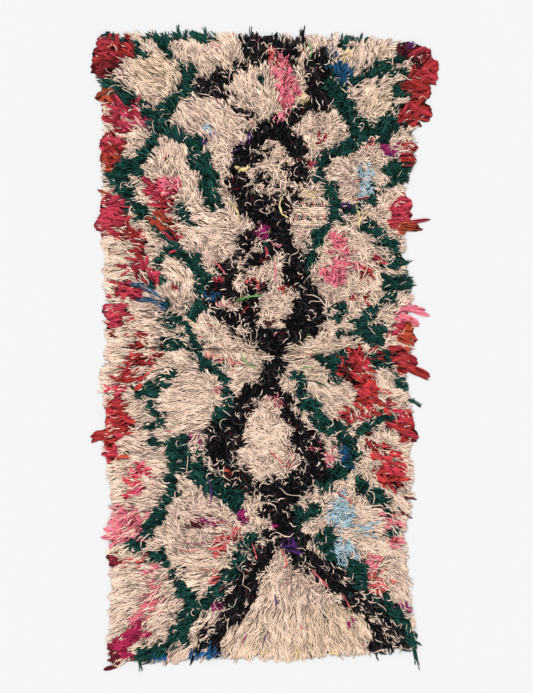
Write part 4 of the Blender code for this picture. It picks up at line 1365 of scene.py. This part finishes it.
# Each batch's material: its name, painted root shade, strand contrast (which scales each strand's tone and
# its painted ridge light and fold shade), mottle, raise, sheen and palette
MATERIALS = {
    "ivory": fibre_material("ivory wool", 0.52, 1.55, 0.50, 0.5, 0.05, IVORY_PALETTE),
    "green": fibre_material("green wool", 0.65, 1.95, 0.70, 0.6, 0.02, GREEN_PALETTE),
    "black": fibre_material("black wool", 0.60, 1.95, 0.70, 0.6, 0.015, BLACK_PALETTE),
    "red": fibre_material("red rag", 0.55, 2.60, 0.85, 0.5, 0.03, RED_PALETTE),
    "pink": fibre_material("pink wool", 0.50, 1.35, 0.40, 0.5, 0.06, PINK_PALETTE),
    "blue": fibre_material("blue wool", 0.50, 1.80, 0.40, 0.5, 0.06, BLUE_PALETTE),
    "oddment": fibre_material("oddment yarn", 0.35, 0.70, 0.30, 0.5, 0.10, ODDMENT_PALETTE),
}


def dress(piece, batch):
    """Gives a piece its material and slot, and fixes it to the rug."""
    piece.data.materials.append(MATERIALS[batch])
    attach(piece, "root")
    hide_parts("shag_rug")
    return piece


# The ivory pile is in parts from the near end to the far end: name, from, to
IVORY_PARTS = (
    ("near", -2.0, -0.42), ("middle_near", -0.42, 0.08), ("middle_far", 0.08, 0.56), ("far", 0.56, 2.0),
)
SHORT_PILED = ("green", "black")


def make_pile():
    """Every piece of pile: strands by batch and part of the rug, then threads and rags."""
    x, y = plant_knots()
    batches = grow_pile(x, y)
    trade_flecks(batches)
    filling = fill_pile(batches)
    grow_tails(batches)
    ivory = batches.pop("ivory")
    for part, low, high in IVORY_PARTS:
        chosen = ivory[(ivory["y"] >= low) & (ivory["y"] < high)]
        dress(strand_piece("ivory_pile_" + part, chosen, *LONG), "ivory")
    dress(strand_piece("ivory_pile_under", filling, *SHORT), "ivory")
    for batch, strands in batches.items():
        shape = SHORT if batch in SHORT_PILED else LONG
        dress(strand_piece(batch + "_pile", strands, *shape), batch)
    root_pieces()
    for batch in MATERIALS:
        threads = [thread for thread in by_yarn(THREADS) if YARNS[thread[0]].batch == batch]
        if threads:
            dress(thread_piece(batch + "_threads", threads), batch)
    rim, is_pink = rim_rags()
    reds = np.concatenate([pattern_rags(x, y, True), rim[~is_pink]])
    dress(rag_piece("red_rags", reds, *WIDE_FACES), "red")
    dress(rag_piece("red_strips", pattern_rags(x, y, False), *NARROW_FACES), "red")
    dress(rag_piece("pink_rags", rim[is_pink], *WIDE_FACES), "pink")
    wefts, stubs = weft_stitches(), knot_stubs()
    dress(stitch_piece("ivory_stitches", wefts, WEFT_STITCH, 0.65), "ivory")
    for batch, first, step, hue in STUB_BATCHES:
        dress(stitch_piece(batch + "_stitches", stubs[first::step], KNOT_STUB, hue), batch)


def make_ground_piece():
    """The woven ground, as a sheet that lies under the pile."""
    ground = make_ground()
    ground.data.materials.append(ground_material())
    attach(ground, "root")
    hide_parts("shag_rug")
    return ground


FLOOR_HALF = 6
FLOOR_DROP = 0.0005  # how far the floor lies under the rug


def make_floor():
    """A plain light floor under the rug."""
    mesh = bpy.data.meshes.new("floor")
    corners = [(x * FLOOR_HALF, y * FLOOR_HALF, 0) for x, y in ((-1, -1), (1, -1), (1, 1), (-1, 1))]
    mesh.from_pydata(corners, [], [(0, 1, 2, 3)])
    floor = show(bpy.data.objects.new("floor", mesh))
    floor.location.z = -FLOOR_DROP
    material, tree = new_material("studio floor")
    inputs = {"Base Color": (0.64, 0.64, 0.64, 1), "Roughness": 0.9, "Specular IOR Level": 0.1}
    shader = add(tree, "ShaderNodeBsdfPrincipled", inputs)
    add(tree, "ShaderNodeOutputMaterial", {"Surface": (shader, "BSDF")})
    mesh.materials.append(material)


SKY_STRENGTH = 0.74
LAMP_STRENGTH, LAMP_SPREAD = 2.6, 30  # spread in degrees
LAMP_TILT = (-28, -16, 0)  # in degrees


def make_light():
    """Bright, even studio light from all round, a little stronger from the upper left."""
    world = bpy.data.worlds.new("studio")
    bpy.context.scene.world = world
    world.use_nodes = True
    sky = world.node_tree.nodes["Background"]
    sky.inputs["Color"].default_value = (1, 1, 1, 1)
    sky.inputs["Strength"].default_value = SKY_STRENGTH
    lamp = bpy.data.lights.new("broad lamp", "SUN")
    lamp.angle = math.radians(LAMP_SPREAD)
    lamp.energy = LAMP_STRENGTH
    light = show(bpy.data.objects.new("broad lamp", lamp))
    light.rotation_euler = [math.radians(angle) for angle in LAMP_TILT]


CAMERA_AT = (0.0208, 0.0080, 6.17)
CAMERA_LENS = 100


def make_camera():
    """Straight above the rug, as the photo is taken."""
    camera = bpy.data.cameras.new("camera")
    camera.lens = CAMERA_LENS
    camera.clip_end = 100
    view = show(bpy.data.objects.new("camera", camera))
    view.location = CAMERA_AT
    bpy.context.scene.camera = view


make_pile()
make_ground_piece()
make_floor()
make_light()
make_camera()
bpy.context.scene.view_settings.view_transform = "Standard"
